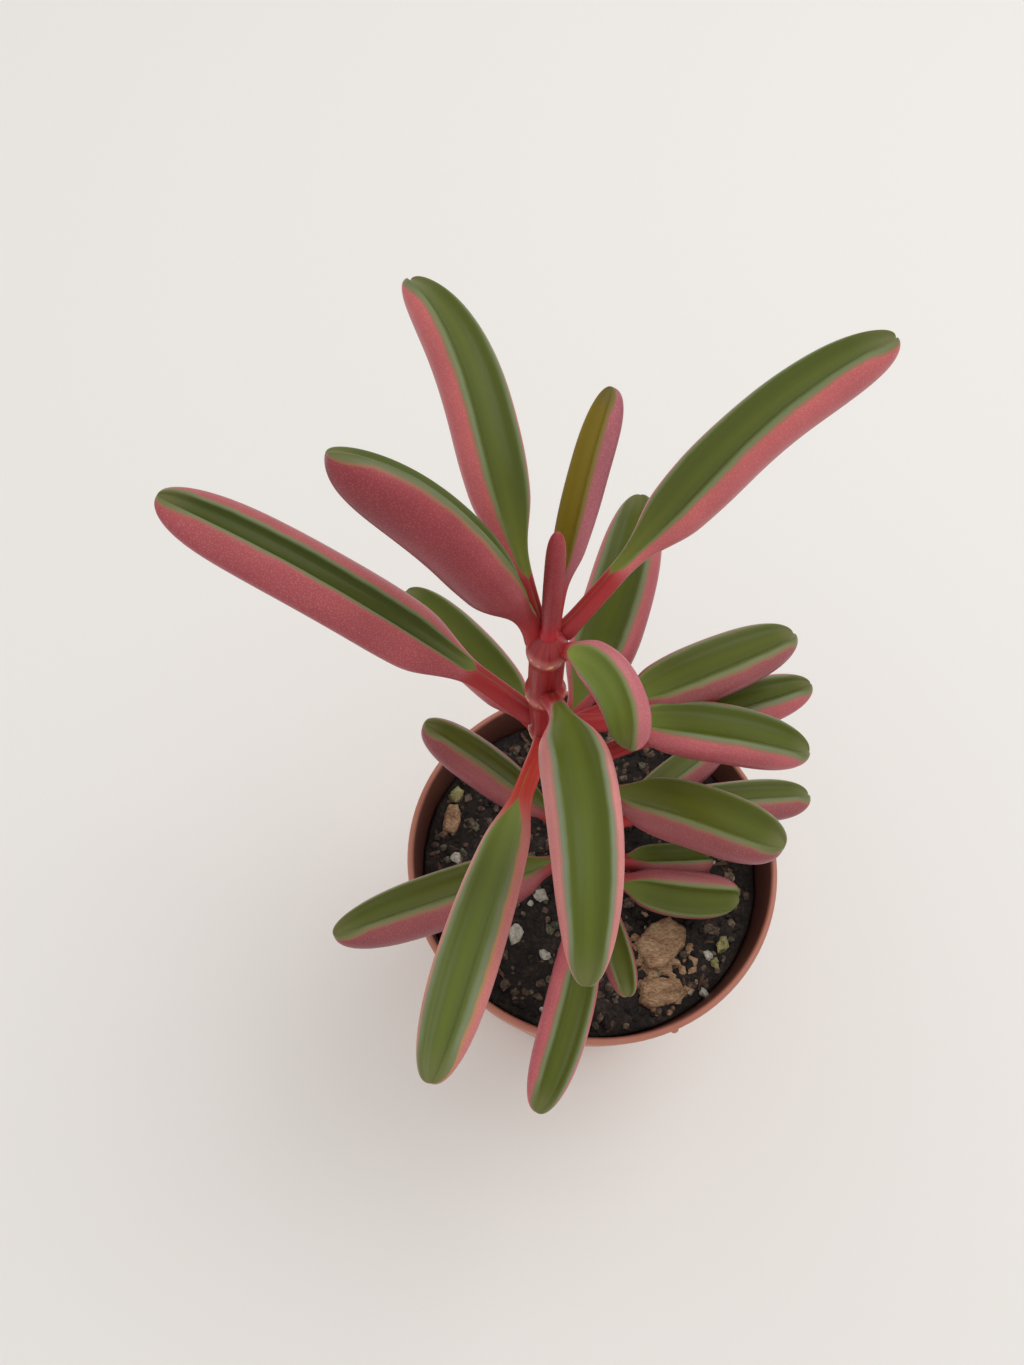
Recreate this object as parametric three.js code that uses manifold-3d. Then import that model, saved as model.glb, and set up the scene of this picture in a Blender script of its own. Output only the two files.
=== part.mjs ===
import * as THREE from 'three';
import { mergeVertices } from 'three/addons/utils/BufferGeometryUtils.js';
import Module from 'manifold-3d';

const wasm = await Module();
wasm.setup();

// A ruby glow peperomia in its small nursery pot.
// Millimetres. The origin is the middle of the pot's underside, +Z is up
// and the side shown to the viewer is -Y.

// Pot
const POT_HEIGHT = 50;
const POT_RIM_RADIUS = 28.5;
const POT_RIM_DEPTH = 10;
const POT_RIM_TAPER = 1.4;
const POT_RIM_STEP = 1.3;
const POT_WALL = 1.1;
const POT_FOOT_RADIUS = 20;
const POT_FLOOR = 1.4;
const POT_EDGE = 0.3;
const POT_SIDES = 48;
const DRAIN_COUNT = 4;
const DRAIN_RADIUS = 2.4;
const DRAIN_OFFSET = 12.5;
const DRAIN_SIDES = 14;
const DRILL_LENGTH = 6;
const NUB_ANGLE = -65;
const NUB_RADIUS = 0.7;
const NUB_DROP = 1.2;
const NUB_SINK = 0.4;
const NUB_SIDES = 8;
const NUB_RINGS = 6;

// Soil
const SOIL_LEVEL = 43.6;
const SOIL_GAP = 0.3;
const SOIL_RINGS = [3.6, 7.4, 11.2, 15, 18.6, 22, 24.8];
const SOIL_SIDES = 32;
const SOIL_RELIEF = 0.8;
const SOIL_SEED = 5;
const GRAIN_COUNT = 24;
const GRAIN_SMALLEST = 0.7;
const GRAIN_LARGEST = 1.5;
const GRAIN_WIDTH = 0.85;
const GRAIN_SQUASH = 0.7;
const GRAIN_SEAT = 0.4;
const GRAIN_FIELD = 24;
const GRAIN_SEED = 11;

// Bark chips bedded in the soil: middle, length by breadth by thickness, heading and tilt
const CHIP_BEVEL = 0.45;
const CHIP_SINK = 0.1;
const CHIPS = [
  { name: 'bark_chip_front', at: [11, -19.4], size: [7, 4.2, 1.6], heading: 8, tilt: 5 },
  { name: 'bark_chip_right', at: [11.2, -12], size: [8.5, 6, 1.8], heading: 40, tilt: -5 },
  { name: 'bark_chip_left', at: [-22.4, 6.5], size: [5, 2.6, 1.4], heading: 80, tilt: 5 },
];

// Stem: points of its middle line, from the foot in the soil to the growing tip
const STEM_RADIUS = 2.1;
const STEM_NODE_SWELL = 0.35;
const STEM_NODE_REACH = 1.6;
const STEM_SIDES = 12;
const STEM_TIP_SHRINK = 0.6;
const STEM_TIP_RISE = 0.2;
const STEM_HALVINGS = 30;
const STEM_SLOPE_REACH = 0.5;
const STEM_RINGS = 20;
const STEM_LINE = [
  [0.2, -7.4, 34],
  [0, -7, 42],
  [-0.6, -5.2, 52],
  [-2.5, -2, 60],
  [-5.8, 1.3, 72],
  [-8.8, 3.5, 84],
  [-9.7, 4.3, 93],
  [-9.9, 4.6, 102],
  [-9.9, 4.7, 105.5],
];
const STEM_NODES = [57, 71, 84.5, 93, 102];

// Between two pieces that touch
const CLEARANCE = 0.3;

// Points of one solid closer than this are one point
const WELD = 0.0001;

// Every leaf is a petiole that widens into a thick keeled blade with a groove
// along its upper side. Shares of the length at which its rings are set:
const LEAF_SHARES = [0, 0.08, 0.16, 0.24, 0.32, 0.42, 0.53, 0.64, 0.75, 0.85, 0.93, 0.98];
const WALK_STEPS = 24;
const PETIOLE_ANGLES = [90, 66, 38, 4, -32, -62, -90];
const BLEND_SHARE = 0.24;
const TIP_ROOT = 0.48;

// Places on a blade's section in shares: the groove's wall towards the lip and down
// the groove, then the flank and the underside towards the edge and down the keel
const GROOVE_WALL = [0.6, 0.85];
const FLANK = [0.82, 0.52];
const UNDERSIDE = [0.42, 0.86];

// foot: height on the stem. heading: degrees from +X. rise and tip: slope at the
// base and at the end. turn: sideways bend from base to end. bow: how far the heading
// swings out halfway. ease: above 1 the slope changes late. roll: lean of the blade
// about its own line, and twist: how much it gains towards the end. widest: share of
// the blade at which it is broadest. swell: below 1 it broadens early. blunt: above 3
// the end is squarer. mouth, groove, crest and deep: share of the half breadth at which
// the groove's lips stand, how far it sinks, how high the lips are and how far down the
// keel reaches. set: distance of the first ring from the stem's line.
const LEAF_DEFAULTS = {
  turn: 0, bow: 0, ease: 1, roll: 0, twist: 0, petiole: 0.22, neck: 1.25, widest: 0.5,
  swell: 0.7, blunt: 3, mouth: 0.62, groove: 0.22, crest: 0.4, deep: 1.1, set: 1,
};
const LEAVES = [
  { name: 'leaf_top_left', foot: 101.5, heading: 151, rise: 70, tip: 28, length: 35.5, breadth: 9.5,
    turn: 36, ease: 1.3, roll: -40, petiole: 0.1, widest: 0.42 },
  { name: 'leaf_top_back', foot: 102, heading: 122, rise: 42, tip: 0, length: 45.5, breadth: 8.4,
    turn: 16, bow: -22, ease: 1.4, roll: -30, twist: 10, petiole: 0.16, widest: 0.4, blunt: 3.5,
    set: 1.4 },
  { name: 'leaf_top_young', foot: 103, heading: 81, rise: 62, tip: 49, length: 28, breadth: 4.8,
    turn: -15, roll: 28, twist: 10, petiole: 0.18, neck: 1, widest: 0.55, blunt: 4, set: 1.2 },
  { name: 'leaf_top_bud', foot: 104, heading: 90, rise: 80, tip: 76, length: 15.5, breadth: 2.2,
    roll: 180, petiole: 0.1, neck: 0.9, blunt: 5, mouth: 0.3, set: 0 },
  { name: 'leaf_top_right', foot: 102.5, heading: 44, rise: 22, tip: 20, length: 51.5, breadth: 8.4,
    turn: -30, bow: 16, ease: 1.4, roll: 18, petiole: 0.2, neck: 1.15, widest: 0.42,
    blunt: 5, deep: 1.15 },
  { name: 'leaf_top_nodding', foot: 101.5, heading: -18, rise: 85, tip: -55, length: 16.5,
    breadth: 5.8, turn: -68, ease: 0.5, roll: -35, twist: -20, petiole: 0.1, neck: 1, blunt: 5 },
  { name: 'leaf_upper_front', foot: 93, heading: -74, rise: 55, tip: -24, length: 41, breadth: 8,
    turn: -18, petiole: 0.16, widest: 0.35, blunt: 2.4, mouth: 0.6 },
  { name: 'leaf_middle_left', foot: 85, heading: 156, rise: 30, tip: 22, length: 53, breadth: 9.8,
    turn: 12, roll: -6, petiole: 0.16, neck: 1.4, widest: 0.36, swell: 0.55, blunt: 5, mouth: 0.36, deep: 1 },
  { name: 'leaf_middle_front', foot: 84, heading: -106, rise: 26, tip: 10, length: 47.5, breadth: 7,
    turn: 5, roll: -15, petiole: 0.2, widest: 0.6, blunt: 2.6, mouth: 0.55 },
  { name: 'leaf_middle_far_left', foot: 81, heading: 128, rise: -2, tip: -10, length: 32,
    breadth: 7.6, turn: 6, petiole: 0.08, mouth: 0.74 },
  { name: 'leaf_middle_back', foot: 79, heading: 65, rise: 16, tip: 7, length: 39, breadth: 9.8,
    turn: 18, roll: 12, petiole: 0.1, widest: 0.4 },
  { name: 'leaf_middle_back_right', foot: 83, heading: 22, rise: 16, tip: -10, length: 35,
    breadth: 8.8, turn: 8, ease: 1.2, roll: 12, widest: 0.45 },
  { name: 'leaf_middle_right', foot: 85, heading: 4, rise: 12, tip: -18, length: 33, breadth: 8.6,
    turn: -12, roll: 12 },
  { name: 'leaf_lower_back_right', foot: 75, heading: 24, rise: 10, tip: -1, length: 36, breadth: 8,
    turn: -4, roll: 12, petiole: 0.26, mouth: 0.5 },
  { name: 'leaf_lower_right', foot: 71, heading: -24, rise: 50, tip: 13, length: 32, breadth: 9,
    turn: -8, roll: 15, widest: 0.45, blunt: 4, mouth: 0.7 },
  { name: 'leaf_low_right', foot: 62, heading: 19, rise: 2, tip: -12, length: 35, breadth: 7.6,
    turn: -10, roll: 24, blunt: 5, mouth: 0.52 },
  { name: 'leaf_low_back_right', foot: 58, heading: 44, rise: 0, tip: -20, length: 31, breadth: 7,
    roll: 30 },
  { name: 'leaf_low_left', foot: 59, heading: 157, rise: 53, tip: 32, length: 31.5, breadth: 7.5,
    turn: 8, roll: -18, mouth: 0.45 },
  { name: 'leaf_foot_right', foot: 55, heading: -24, rise: 0, tip: -22, length: 23.5, breadth: 7.6,
    turn: 40, roll: -45, petiole: 0.15 },
  { name: 'leaf_foot_front', foot: 55, heading: -73, rise: 23, tip: 2, length: 20, breadth: 4.8,
    turn: -4, roll: 8 },
  { name: 'leaf_foot_front_left', foot: 57.5, heading: -88, rise: 29, tip: 3, length: 38.5,
    breadth: 7, turn: -24, roll: 28, mouth: 0.58 },
  { name: 'leaf_foot_left', foot: 57, heading: -154, rise: 31, tip: 10, length: 39, breadth: 9.2,
    turn: 3, roll: -22, twist: -10, petiole: 0.1, widest: 0.42, mouth: 0.6 },
  { name: 'leaf_foot_back_right', foot: 55, heading: 14, rise: -14, tip: -29, length: 21,
    breadth: 7, roll: 30 },
];

const radians = (degrees) => degrees * Math.PI / 180;

// Numbers in 0..1 that are the same at every build
function seeded(seed) {
  let state = seed;
  return () => {
    state = (state * 16807) % 2147483647;
    return state / 2147483647;
  };
}

// Solids
function toSolid(geometry) {
  const plain = geometry.clone();
  plain.deleteAttribute('normal');
  plain.deleteAttribute('uv');
  const merged = mergeVertices(plain, WELD);
  const mesh = new wasm.Mesh({
    numProp: 3,
    vertProperties: new Float32Array(merged.attributes.position.array),
    triVerts: new Uint32Array(merged.index.array),
  });
  return new wasm.Manifold(mesh);
}

function toGeometry(solid) {
  const mesh = solid.getMesh();
  const geometry = new THREE.BufferGeometry();
  geometry.setAttribute('position', new THREE.BufferAttribute(new Float32Array(mesh.vertProperties), 3));
  geometry.setIndex(new THREE.BufferAttribute(new Uint32Array(mesh.triVerts), 1));
  return geometry;
}

// The largest of the loose parts that a cut leaves
function largest(solid) {
  const parts = solid.decompose();
  return parts.reduce((best, part) => (part.volume() > best.volume() ? part : best));
}

// A skin over closed rings of points with a point or a flat cap at both ends
function skin(rings, startTip, endTip) {
  const count = rings[0].length;
  const points = [];
  rings.forEach((ring) => ring.forEach((point) => points.push(point.x, point.y, point.z)));
  const start = points.length / 3;
  points.push(startTip.x, startTip.y, startTip.z);
  const end = start + 1;
  points.push(endTip.x, endTip.y, endTip.z);
  const faces = [];
  for (let i = 0; i < rings.length - 1; i += 1) {
    for (let j = 0; j < count; j += 1) {
      const next = (j + 1) % count;
      const a = i * count + j;
      const b = i * count + next;
      const c = (i + 1) * count + next;
      const d = (i + 1) * count + j;
      if (j < count / 2) faces.push(a, b, c, a, c, d);
      else faces.push(a, b, d, b, c, d);
    }
  }
  const last = (rings.length - 1) * count;
  for (let j = 0; j < count; j += 1) {
    const next = (j + 1) % count;
    faces.push(start, next, j);
    faces.push(end, last + j, last + next);
  }
  const geometry = new THREE.BufferGeometry();
  geometry.setAttribute('position', new THREE.Float32BufferAttribute(points, 3));
  geometry.setIndex(faces);
  return geometry;
}

// A solid of revolution: the outline runs from the axis below to the axis above
function turned(outline, sides) {
  const inner = outline.slice(1, -1);
  const rings = inner.map(([radius, z]) => {
    const ring = [];
    for (let k = 0; k < sides; k += 1) {
      const angle = 2 * Math.PI * k / sides;
      ring.push(new THREE.Vector3(radius * Math.cos(angle), radius * Math.sin(angle), z));
    }
    return ring;
  });
  const first = outline[0];
  const last = outline[outline.length - 1];
  return skin(rings, new THREE.Vector3(0, 0, first[1]), new THREE.Vector3(0, 0, last[1]));
}

// Pot
function outerWall(z) {
  const share = z / (POT_HEIGHT - POT_RIM_DEPTH);
  const top = POT_RIM_RADIUS - POT_RIM_TAPER - POT_RIM_STEP;
  return POT_FOOT_RADIUS + (top - POT_FOOT_RADIUS) * share;
}

function innerWall(z) {
  const below = POT_HEIGHT - POT_RIM_DEPTH;
  if (z <= below) return outerWall(z) - POT_WALL;
  const share = (z - below) / POT_RIM_DEPTH;
  return POT_RIM_RADIUS - POT_RIM_TAPER * (1 - share) - POT_WALL;
}

function potSolid() {
  const below = POT_HEIGHT - POT_RIM_DEPTH;
  const rimFoot = POT_RIM_RADIUS - POT_RIM_TAPER;
  const outline = [
    [0, 0],
    [POT_FOOT_RADIUS - POT_EDGE * 2, 0],
    [POT_FOOT_RADIUS, POT_EDGE * 2],
    [outerWall(below), below],
    [rimFoot - POT_EDGE, below],
    [rimFoot, below + POT_EDGE],
    [POT_RIM_RADIUS, POT_HEIGHT - POT_EDGE],
    [POT_RIM_RADIUS - POT_EDGE, POT_HEIGHT],
    [POT_RIM_RADIUS - POT_WALL + POT_EDGE, POT_HEIGHT],
    [POT_RIM_RADIUS - POT_WALL, POT_HEIGHT - POT_EDGE],
    [innerWall(below + POT_WALL * 2), below + POT_WALL * 2],
    [innerWall(below), below + POT_WALL],
    [innerWall(POT_FLOOR), POT_FLOOR],
    [0, POT_FLOOR],
  ];
  let pot = toSolid(turned(outline, POT_SIDES));
  for (let k = 0; k < DRAIN_COUNT; k += 1) {
    const angle = 2 * Math.PI * (k + 0.5) / DRAIN_COUNT;
    const hole = new THREE.CylinderGeometry(DRAIN_RADIUS, DRAIN_RADIUS, DRILL_LENGTH, DRAIN_SIDES);
    hole.rotateX(Math.PI / 2);
    hole.translate(DRAIN_OFFSET * Math.cos(angle), DRAIN_OFFSET * Math.sin(angle), POT_FLOOR / 2);
    pot = pot.subtract(toSolid(hole));
  }
  const nub = new THREE.SphereGeometry(NUB_RADIUS, NUB_SIDES, NUB_RINGS);
  const reach = POT_RIM_RADIUS - NUB_SINK;
  const angle = radians(NUB_ANGLE);
  nub.translate(reach * Math.cos(angle), reach * Math.sin(angle), POT_HEIGHT - NUB_DROP);
  return pot.add(toSolid(nub));
}

// Stem
const stemCurve = new THREE.CatmullRomCurve3(STEM_LINE.map((at) => new THREE.Vector3(...at)));

function stemPoint(height) {
  let low = 0;
  let high = 1;
  for (let k = 0; k < STEM_HALVINGS; k += 1) {
    const middle = (low + high) / 2;
    if (stemCurve.getPoint(middle).z < height) low = middle;
    else high = middle;
  }
  return stemCurve.getPoint(low);
}

function stemSolid(extra) {
  const rings = [];
  const foot = STEM_LINE[0][2];
  const top = STEM_LINE[STEM_LINE.length - 1][2];
  for (let i = 0; i < STEM_RINGS; i += 1) {
    const height = foot + (top - foot) * i / (STEM_RINGS - 1);
    const at = stemPoint(height);
    const ahead = stemPoint(Math.min(height + STEM_SLOPE_REACH, top));
    const behind = stemPoint(Math.max(height - STEM_SLOPE_REACH, foot));
    const along = ahead.sub(behind).normalize();
    const side = new THREE.Vector3(0, 1, 0).cross(along).normalize();
    const front = along.clone().cross(side);
    let radius = STEM_RADIUS + extra;
    STEM_NODES.forEach((node) => {
      const away = Math.abs(height - node) / STEM_NODE_REACH;
      if (away < 1) radius += STEM_NODE_SWELL * (1 - away);
    });
    if (i === STEM_RINGS - 1) radius *= STEM_TIP_SHRINK;
    const ring = [];
    for (let k = 0; k < STEM_SIDES; k += 1) {
      const angle = 2 * Math.PI * k / STEM_SIDES;
      const point = at.clone();
      point.addScaledVector(side, radius * Math.cos(angle));
      point.addScaledVector(front, radius * Math.sin(angle));
      if (i === 0) point.z -= extra;
      if (i === STEM_RINGS - 1) point.z += extra;
      ring.push(point);
    }
    rings.push(ring);
  }
  const start = stemPoint(foot);
  const end = stemPoint(top);
  start.z -= extra;
  end.z += extra + STEM_TIP_RISE;
  return toSolid(skin(rings, start, end));
}

// Leaves
function leafDirection(leaf, share) {
  const slope = radians(leaf.rise + (leaf.tip - leaf.rise) * share ** leaf.ease);
  const swing = 4 * share * (1 - share);
  const heading = radians(leaf.heading + leaf.turn * share + leaf.bow * swing);
  const along = new THREE.Vector3(
    Math.cos(slope) * Math.cos(heading),
    Math.cos(slope) * Math.sin(heading),
    Math.sin(slope),
  );
  const side = new THREE.Vector3(Math.sin(heading), -Math.cos(heading), 0);
  return { along, side };
}

function leafPoint(leaf, share) {
  const at = stemPoint(leaf.foot);
  const heading = radians(leaf.heading);
  at.x += leaf.set * Math.cos(heading);
  at.y += leaf.set * Math.sin(heading);
  for (let k = 0; k < WALK_STEPS; k += 1) {
    const { along } = leafDirection(leaf, share * (k + 0.5) / WALK_STEPS);
    at.addScaledVector(along, share * leaf.length / WALK_STEPS);
  }
  return at;
}

function leafHalfBreadth(leaf, share) {
  if (share <= leaf.petiole) return leaf.neck;
  const blade = (share - leaf.petiole) / (1 - leaf.petiole);
  const full = leaf.breadth / 2;
  if (blade < leaf.widest) {
    const swell = Math.sin(Math.PI / 2 * blade / leaf.widest) ** leaf.swell;
    return leaf.neck + (full - leaf.neck) * swell;
  }
  const end = (blade - leaf.widest) / (1 - leaf.widest);
  return full * (1 - end ** leaf.blunt) ** TIP_ROOT;
}

function leafRing(leaf, share, extra) {
  const { along, side } = leafDirection(leaf, share);
  const up = side.clone().cross(along);
  const lean = radians(leaf.roll + leaf.twist * share);
  const across = side.clone().multiplyScalar(Math.cos(lean)).addScaledVector(up, Math.sin(lean));
  const above = up.clone().multiplyScalar(Math.cos(lean)).addScaledVector(side, -Math.sin(lean));
  const half = leafHalfBreadth(leaf, share);
  const blade = (share - leaf.petiole) / (1 - leaf.petiole);
  const blend = THREE.MathUtils.smoothstep(blade, 0, BLEND_SHARE);
  const section = [
    [0, leaf.crest - leaf.groove],
    [GROOVE_WALL[0] * leaf.mouth, leaf.crest - GROOVE_WALL[1] * leaf.groove],
    [leaf.mouth, leaf.crest],
    [1, 0],
    [FLANK[0], -FLANK[1] * leaf.deep],
    [UNDERSIDE[0], -UNDERSIDE[1] * leaf.deep],
    [0, -leaf.deep],
  ];
  const rightSide = section.map(([x, y], k) => {
    const angle = radians(PETIOLE_ANGLES[k]);
    return [
      THREE.MathUtils.lerp(leaf.neck * Math.cos(angle), x * half, blend) + extra * Math.cos(angle),
      THREE.MathUtils.lerp(leaf.neck * Math.sin(angle), y * half, blend) + extra * Math.sin(angle),
    ];
  });
  const leftSide = rightSide.slice(1, -1).reverse().map(([x, y]) => [-x, y]);
  const centre = leafPoint(leaf, share);
  return [...rightSide, ...leftSide].map(([x, y]) => {
    const point = centre.clone();
    point.addScaledVector(across, x);
    point.addScaledVector(above, y);
    return point;
  });
}

function leafSolid(leaf, extra) {
  const rings = LEAF_SHARES.map((share) => leafRing(leaf, share, extra));
  const start = leafPoint(leaf, 0).addScaledVector(leafDirection(leaf, 0).along, -extra);
  const end = leafPoint(leaf, 1).addScaledVector(leafDirection(leaf, 1).along, extra);
  return toSolid(skin(rings, start, end));
}

// Soil
function soilSolid() {
  const random = seeded(SOIL_SEED);
  const below = POT_HEIGHT - POT_RIM_DEPTH;
  const base = [
    [innerWall(POT_FLOOR) - SOIL_GAP, POT_FLOOR],
    [innerWall(below) - SOIL_GAP, below],
    [innerWall(below) - SOIL_GAP, below + POT_WALL],
    [innerWall(below + POT_WALL * 2) - SOIL_GAP, below + POT_WALL * 2 + SOIL_GAP],
  ];
  const circle = (radius, height) => {
    const ring = [];
    for (let k = 0; k < SOIL_SIDES; k += 1) {
      const angle = 2 * Math.PI * k / SOIL_SIDES;
      ring.push(new THREE.Vector3(radius * Math.cos(angle), radius * Math.sin(angle), height(angle)));
    }
    return ring;
  };
  const rings = base.map(([radius, z]) => circle(radius, () => z));
  [...SOIL_RINGS].reverse().forEach((radius) => {
    rings.push(circle(radius, () => SOIL_LEVEL + SOIL_RELIEF * (random() - 0.5) * 2));
  });
  const bottom = new THREE.Vector3(0, 0, POT_FLOOR);
  const top = new THREE.Vector3(0, 0, SOIL_LEVEL);
  let soil = toSolid(skin(rings, bottom, top));
  const scatter = seeded(GRAIN_SEED);
  for (let k = 0; k < GRAIN_COUNT; k += 1) {
    const size = GRAIN_SMALLEST + (GRAIN_LARGEST - GRAIN_SMALLEST) * scatter();
    const grain = new THREE.IcosahedronGeometry(size, 0);
    grain.scale(1, GRAIN_WIDTH, GRAIN_SQUASH);
    grain.rotateZ(Math.PI * scatter());
    const radius = GRAIN_FIELD * Math.sqrt(scatter());
    const angle = 2 * Math.PI * scatter();
    const seat = SOIL_LEVEL + SOIL_RELIEF * GRAIN_SEAT;
    grain.translate(radius * Math.cos(angle), radius * Math.sin(angle), seat);
    soil = soil.add(toSolid(grain));
  }
  return largest(soil);
}

// Bark
function chipSolid(chip, extra) {
  const [length, breadth, thickness] = chip.size;
  const outline = [
    [-0.5, -0.3], [-0.3, -0.5], [0.25, -0.44], [0.5, -0.15], [0.42, 0.36], [0.05, 0.5], [-0.42, 0.38],
  ];
  const corners = outline.map(([x, y]) => (
    new THREE.Vector2(x * (length + 2 * extra), y * (breadth + 2 * extra))
  ));
  const body = new THREE.ExtrudeGeometry(new THREE.Shape(corners), {
    depth: thickness + 2 * extra - 2 * CHIP_BEVEL,
    bevelEnabled: true,
    bevelSegments: 1,
    bevelSize: CHIP_BEVEL,
    bevelOffset: -CHIP_BEVEL,
    bevelThickness: CHIP_BEVEL,
  });
  body.translate(0, 0, CHIP_BEVEL - extra);
  body.rotateX(radians(chip.tilt));
  body.rotateZ(radians(chip.heading));
  body.translate(chip.at[0], chip.at[1], SOIL_LEVEL - CHIP_SINK);
  return toSolid(body);
}

// Assembly
const assembly = new THREE.Group();

function place(name, solid, colour, roughness) {
  const material = new THREE.MeshStandardMaterial({ color: colour, roughness, metalness: 0 });
  const mesh = new THREE.Mesh(toGeometry(solid), material);
  mesh.name = name;
  assembly.add(mesh);
}

const stem = stemSolid(0);
const stemRoom = stemSolid(CLEARANCE);
let soil = soilSolid().subtract(stemRoom);
CHIPS.forEach((chip) => {
  soil = soil.subtract(chipSolid(chip, CLEARANCE));
});

place('pot', potSolid(), '#a8674f', 0.55);
place('soil', largest(soil), '#2c2927', 0.95);
CHIPS.forEach((chip) => place(chip.name, chipSolid(chip, 0), '#9a7f63', 0.9));
place('stem', stem, '#a8343c', 0.35);

// Each leaf gives way to the stem and to the leaves set before it
const taken = [];
LEAVES.forEach((sizes) => {
  const leaf = { ...LEAF_DEFAULTS, ...sizes };
  let solid = leafSolid(leaf, 0).subtract(stemRoom);
  taken.forEach((other) => {
    solid = solid.subtract(other);
  });
  taken.push(leafSolid(leaf, CLEARANCE));
  place(leaf.name, largest(solid), '#5d6b2c', 0.4);
});

export default assembly;
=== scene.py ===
"""Looks of the potted ruby glow peperomia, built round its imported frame.

Sizes in the tables are millimetres and degrees, in the frame of the part: the
origin is the middle of the pot's underside, +Z is up and the side shown to the
viewer is -Y. Meshes are built in metres.
"""

import logging
import math
import random
from dataclasses import dataclass, replace
from enum import Enum
from typing import Callable, Sequence

import bpy
from mathutils import Matrix, Vector, noise

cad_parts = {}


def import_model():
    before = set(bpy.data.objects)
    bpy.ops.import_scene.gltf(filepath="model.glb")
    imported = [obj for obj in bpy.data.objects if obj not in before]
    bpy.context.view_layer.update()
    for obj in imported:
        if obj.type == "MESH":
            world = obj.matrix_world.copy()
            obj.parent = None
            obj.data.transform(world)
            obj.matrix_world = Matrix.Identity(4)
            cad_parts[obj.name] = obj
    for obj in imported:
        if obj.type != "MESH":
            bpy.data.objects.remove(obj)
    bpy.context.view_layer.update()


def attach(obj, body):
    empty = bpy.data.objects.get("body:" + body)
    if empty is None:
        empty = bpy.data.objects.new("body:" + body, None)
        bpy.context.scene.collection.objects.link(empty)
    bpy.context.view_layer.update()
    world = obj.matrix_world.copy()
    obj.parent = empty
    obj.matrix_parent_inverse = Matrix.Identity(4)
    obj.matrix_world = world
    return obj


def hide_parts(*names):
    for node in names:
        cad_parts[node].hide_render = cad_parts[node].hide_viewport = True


MM = 0.001
BODY = "root"
LOG = logging.getLogger("peperomia")
Colour = tuple[float, float, float, float]
Place = Callable[[float, float], Vector]
Triple = tuple[float, float, float]

# Shared with the part
POT_HEIGHT = 50.0
POT_RIM_RADIUS = 28.5
POT_RIM_DEPTH = 10.0
POT_RIM_TAPER = 1.4
POT_RIM_STEP = 1.3
POT_WALL = 1.1
POT_FOOT_RADIUS = 20.0
POT_FLOOR = 1.4
DRAIN_COUNT = 4
DRAIN_RADIUS = 2.4
DRAIN_OFFSET = 12.5
NUB_ANGLE = -65.0
NUB_RADIUS = 0.7
NUB_DROP = 1.2
NUB_SINK = 0.4
SOIL_LEVEL = 43.6
SOIL_GAP = 0.3
STEM_RADIUS = 2.1
STEM_NODES = (57.0, 71.0, 84.5, 93.0, 102.0)
STEM_LINE = (
    (0.2, -7.4, 34.0),
    (0.0, -7.0, 42.0),
    (-0.6, -5.2, 52.0),
    (-2.5, -2.0, 60.0),
    (-5.8, 1.3, 72.0),
    (-8.8, 3.5, 84.0),
    (-9.7, 4.3, 93.0),
    (-9.9, 4.6, 102.0),
    (-9.9, 4.7, 105.5),
)
STEM_HALVINGS = 30
STEM_SLOPE_REACH = 0.5

# Points of one skin closer than this are one point
WELD = 0.002

# Share of a leaf's chart below its window, the rest is the blade
PETIOLE_CHART = 0.2

# A noise node's values mostly lie between these two
NOISE_LOW = 0.3
NOISE_HIGH = 0.7


# Small tools


def linear(code: str) -> Colour:
    """Turns an sRGB hex colour into the linear colour that shaders take.

    Args:
        code: the colour as "#rrggbb".

    Returns:
        Red, green, blue and full opacity.
    """
    shares = [int(code[k : k + 2], 16) / 255 for k in (1, 3, 5)]
    return (
        *(s / 12.92 if s <= 0.04045 else ((s + 0.055) / 1.055) ** 2.4 for s in shares),
        1.0,
    )


def smooth(low: float, high: float, value: float) -> float:
    """Eases from 0 at low to 1 at high.

    Args:
        low: where the rise starts.
        high: where it ends.
        value: the place asked for.

    Returns:
        A share from 0 to 1.
    """
    share = min(1.0, max(0.0, (value - low) / (high - low)))
    return share * share * (3 - 2 * share)


def polar(radius: float, degrees: float, height: float = 0.0) -> Vector:
    """A point given by its radius, angle and height, in the units of the radius."""
    angle = math.radians(degrees)
    return Vector((radius * math.cos(angle), radius * math.sin(angle), height))


def deselect_all() -> None:
    """Leaves object mode with nothing selected."""
    if bpy.context.object is not None and bpy.context.object.mode != "OBJECT":
        bpy.ops.object.mode_set(mode="OBJECT")
    bpy.ops.object.select_all(action="DESELECT")


def pick(piece: bpy.types.Object) -> None:
    """Makes one piece the selected and active one.

    Args:
        piece: the object.
    """
    deselect_all()
    piece.select_set(True)
    bpy.context.view_layer.objects.active = piece


def weld(piece: bpy.types.Object) -> None:
    """Closes seams and poles of a skin and turns its faces outwards.

    Args:
        piece: the mesh object.
    """
    pick(piece)
    bpy.ops.object.mode_set(mode="EDIT")
    bpy.ops.mesh.select_all(action="SELECT")
    bpy.ops.mesh.remove_doubles(threshold=WELD * MM)
    bpy.ops.mesh.normals_make_consistent(inside=False)
    bpy.ops.object.mode_set(mode="OBJECT")


def apply_modifier(piece: bpy.types.Object, kind: str, **settings: object) -> None:
    """Adds a modifier with its settings and applies it.

    Args:
        piece: the mesh object.
        kind: the modifier's type.
        settings: its properties by name.
    """
    pick(piece)
    made = piece.modifiers.new(kind.title(), kind)
    for name, value in settings.items():
        setattr(made, name, value)
    bpy.ops.object.modifier_apply(modifier=made.name)


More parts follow.
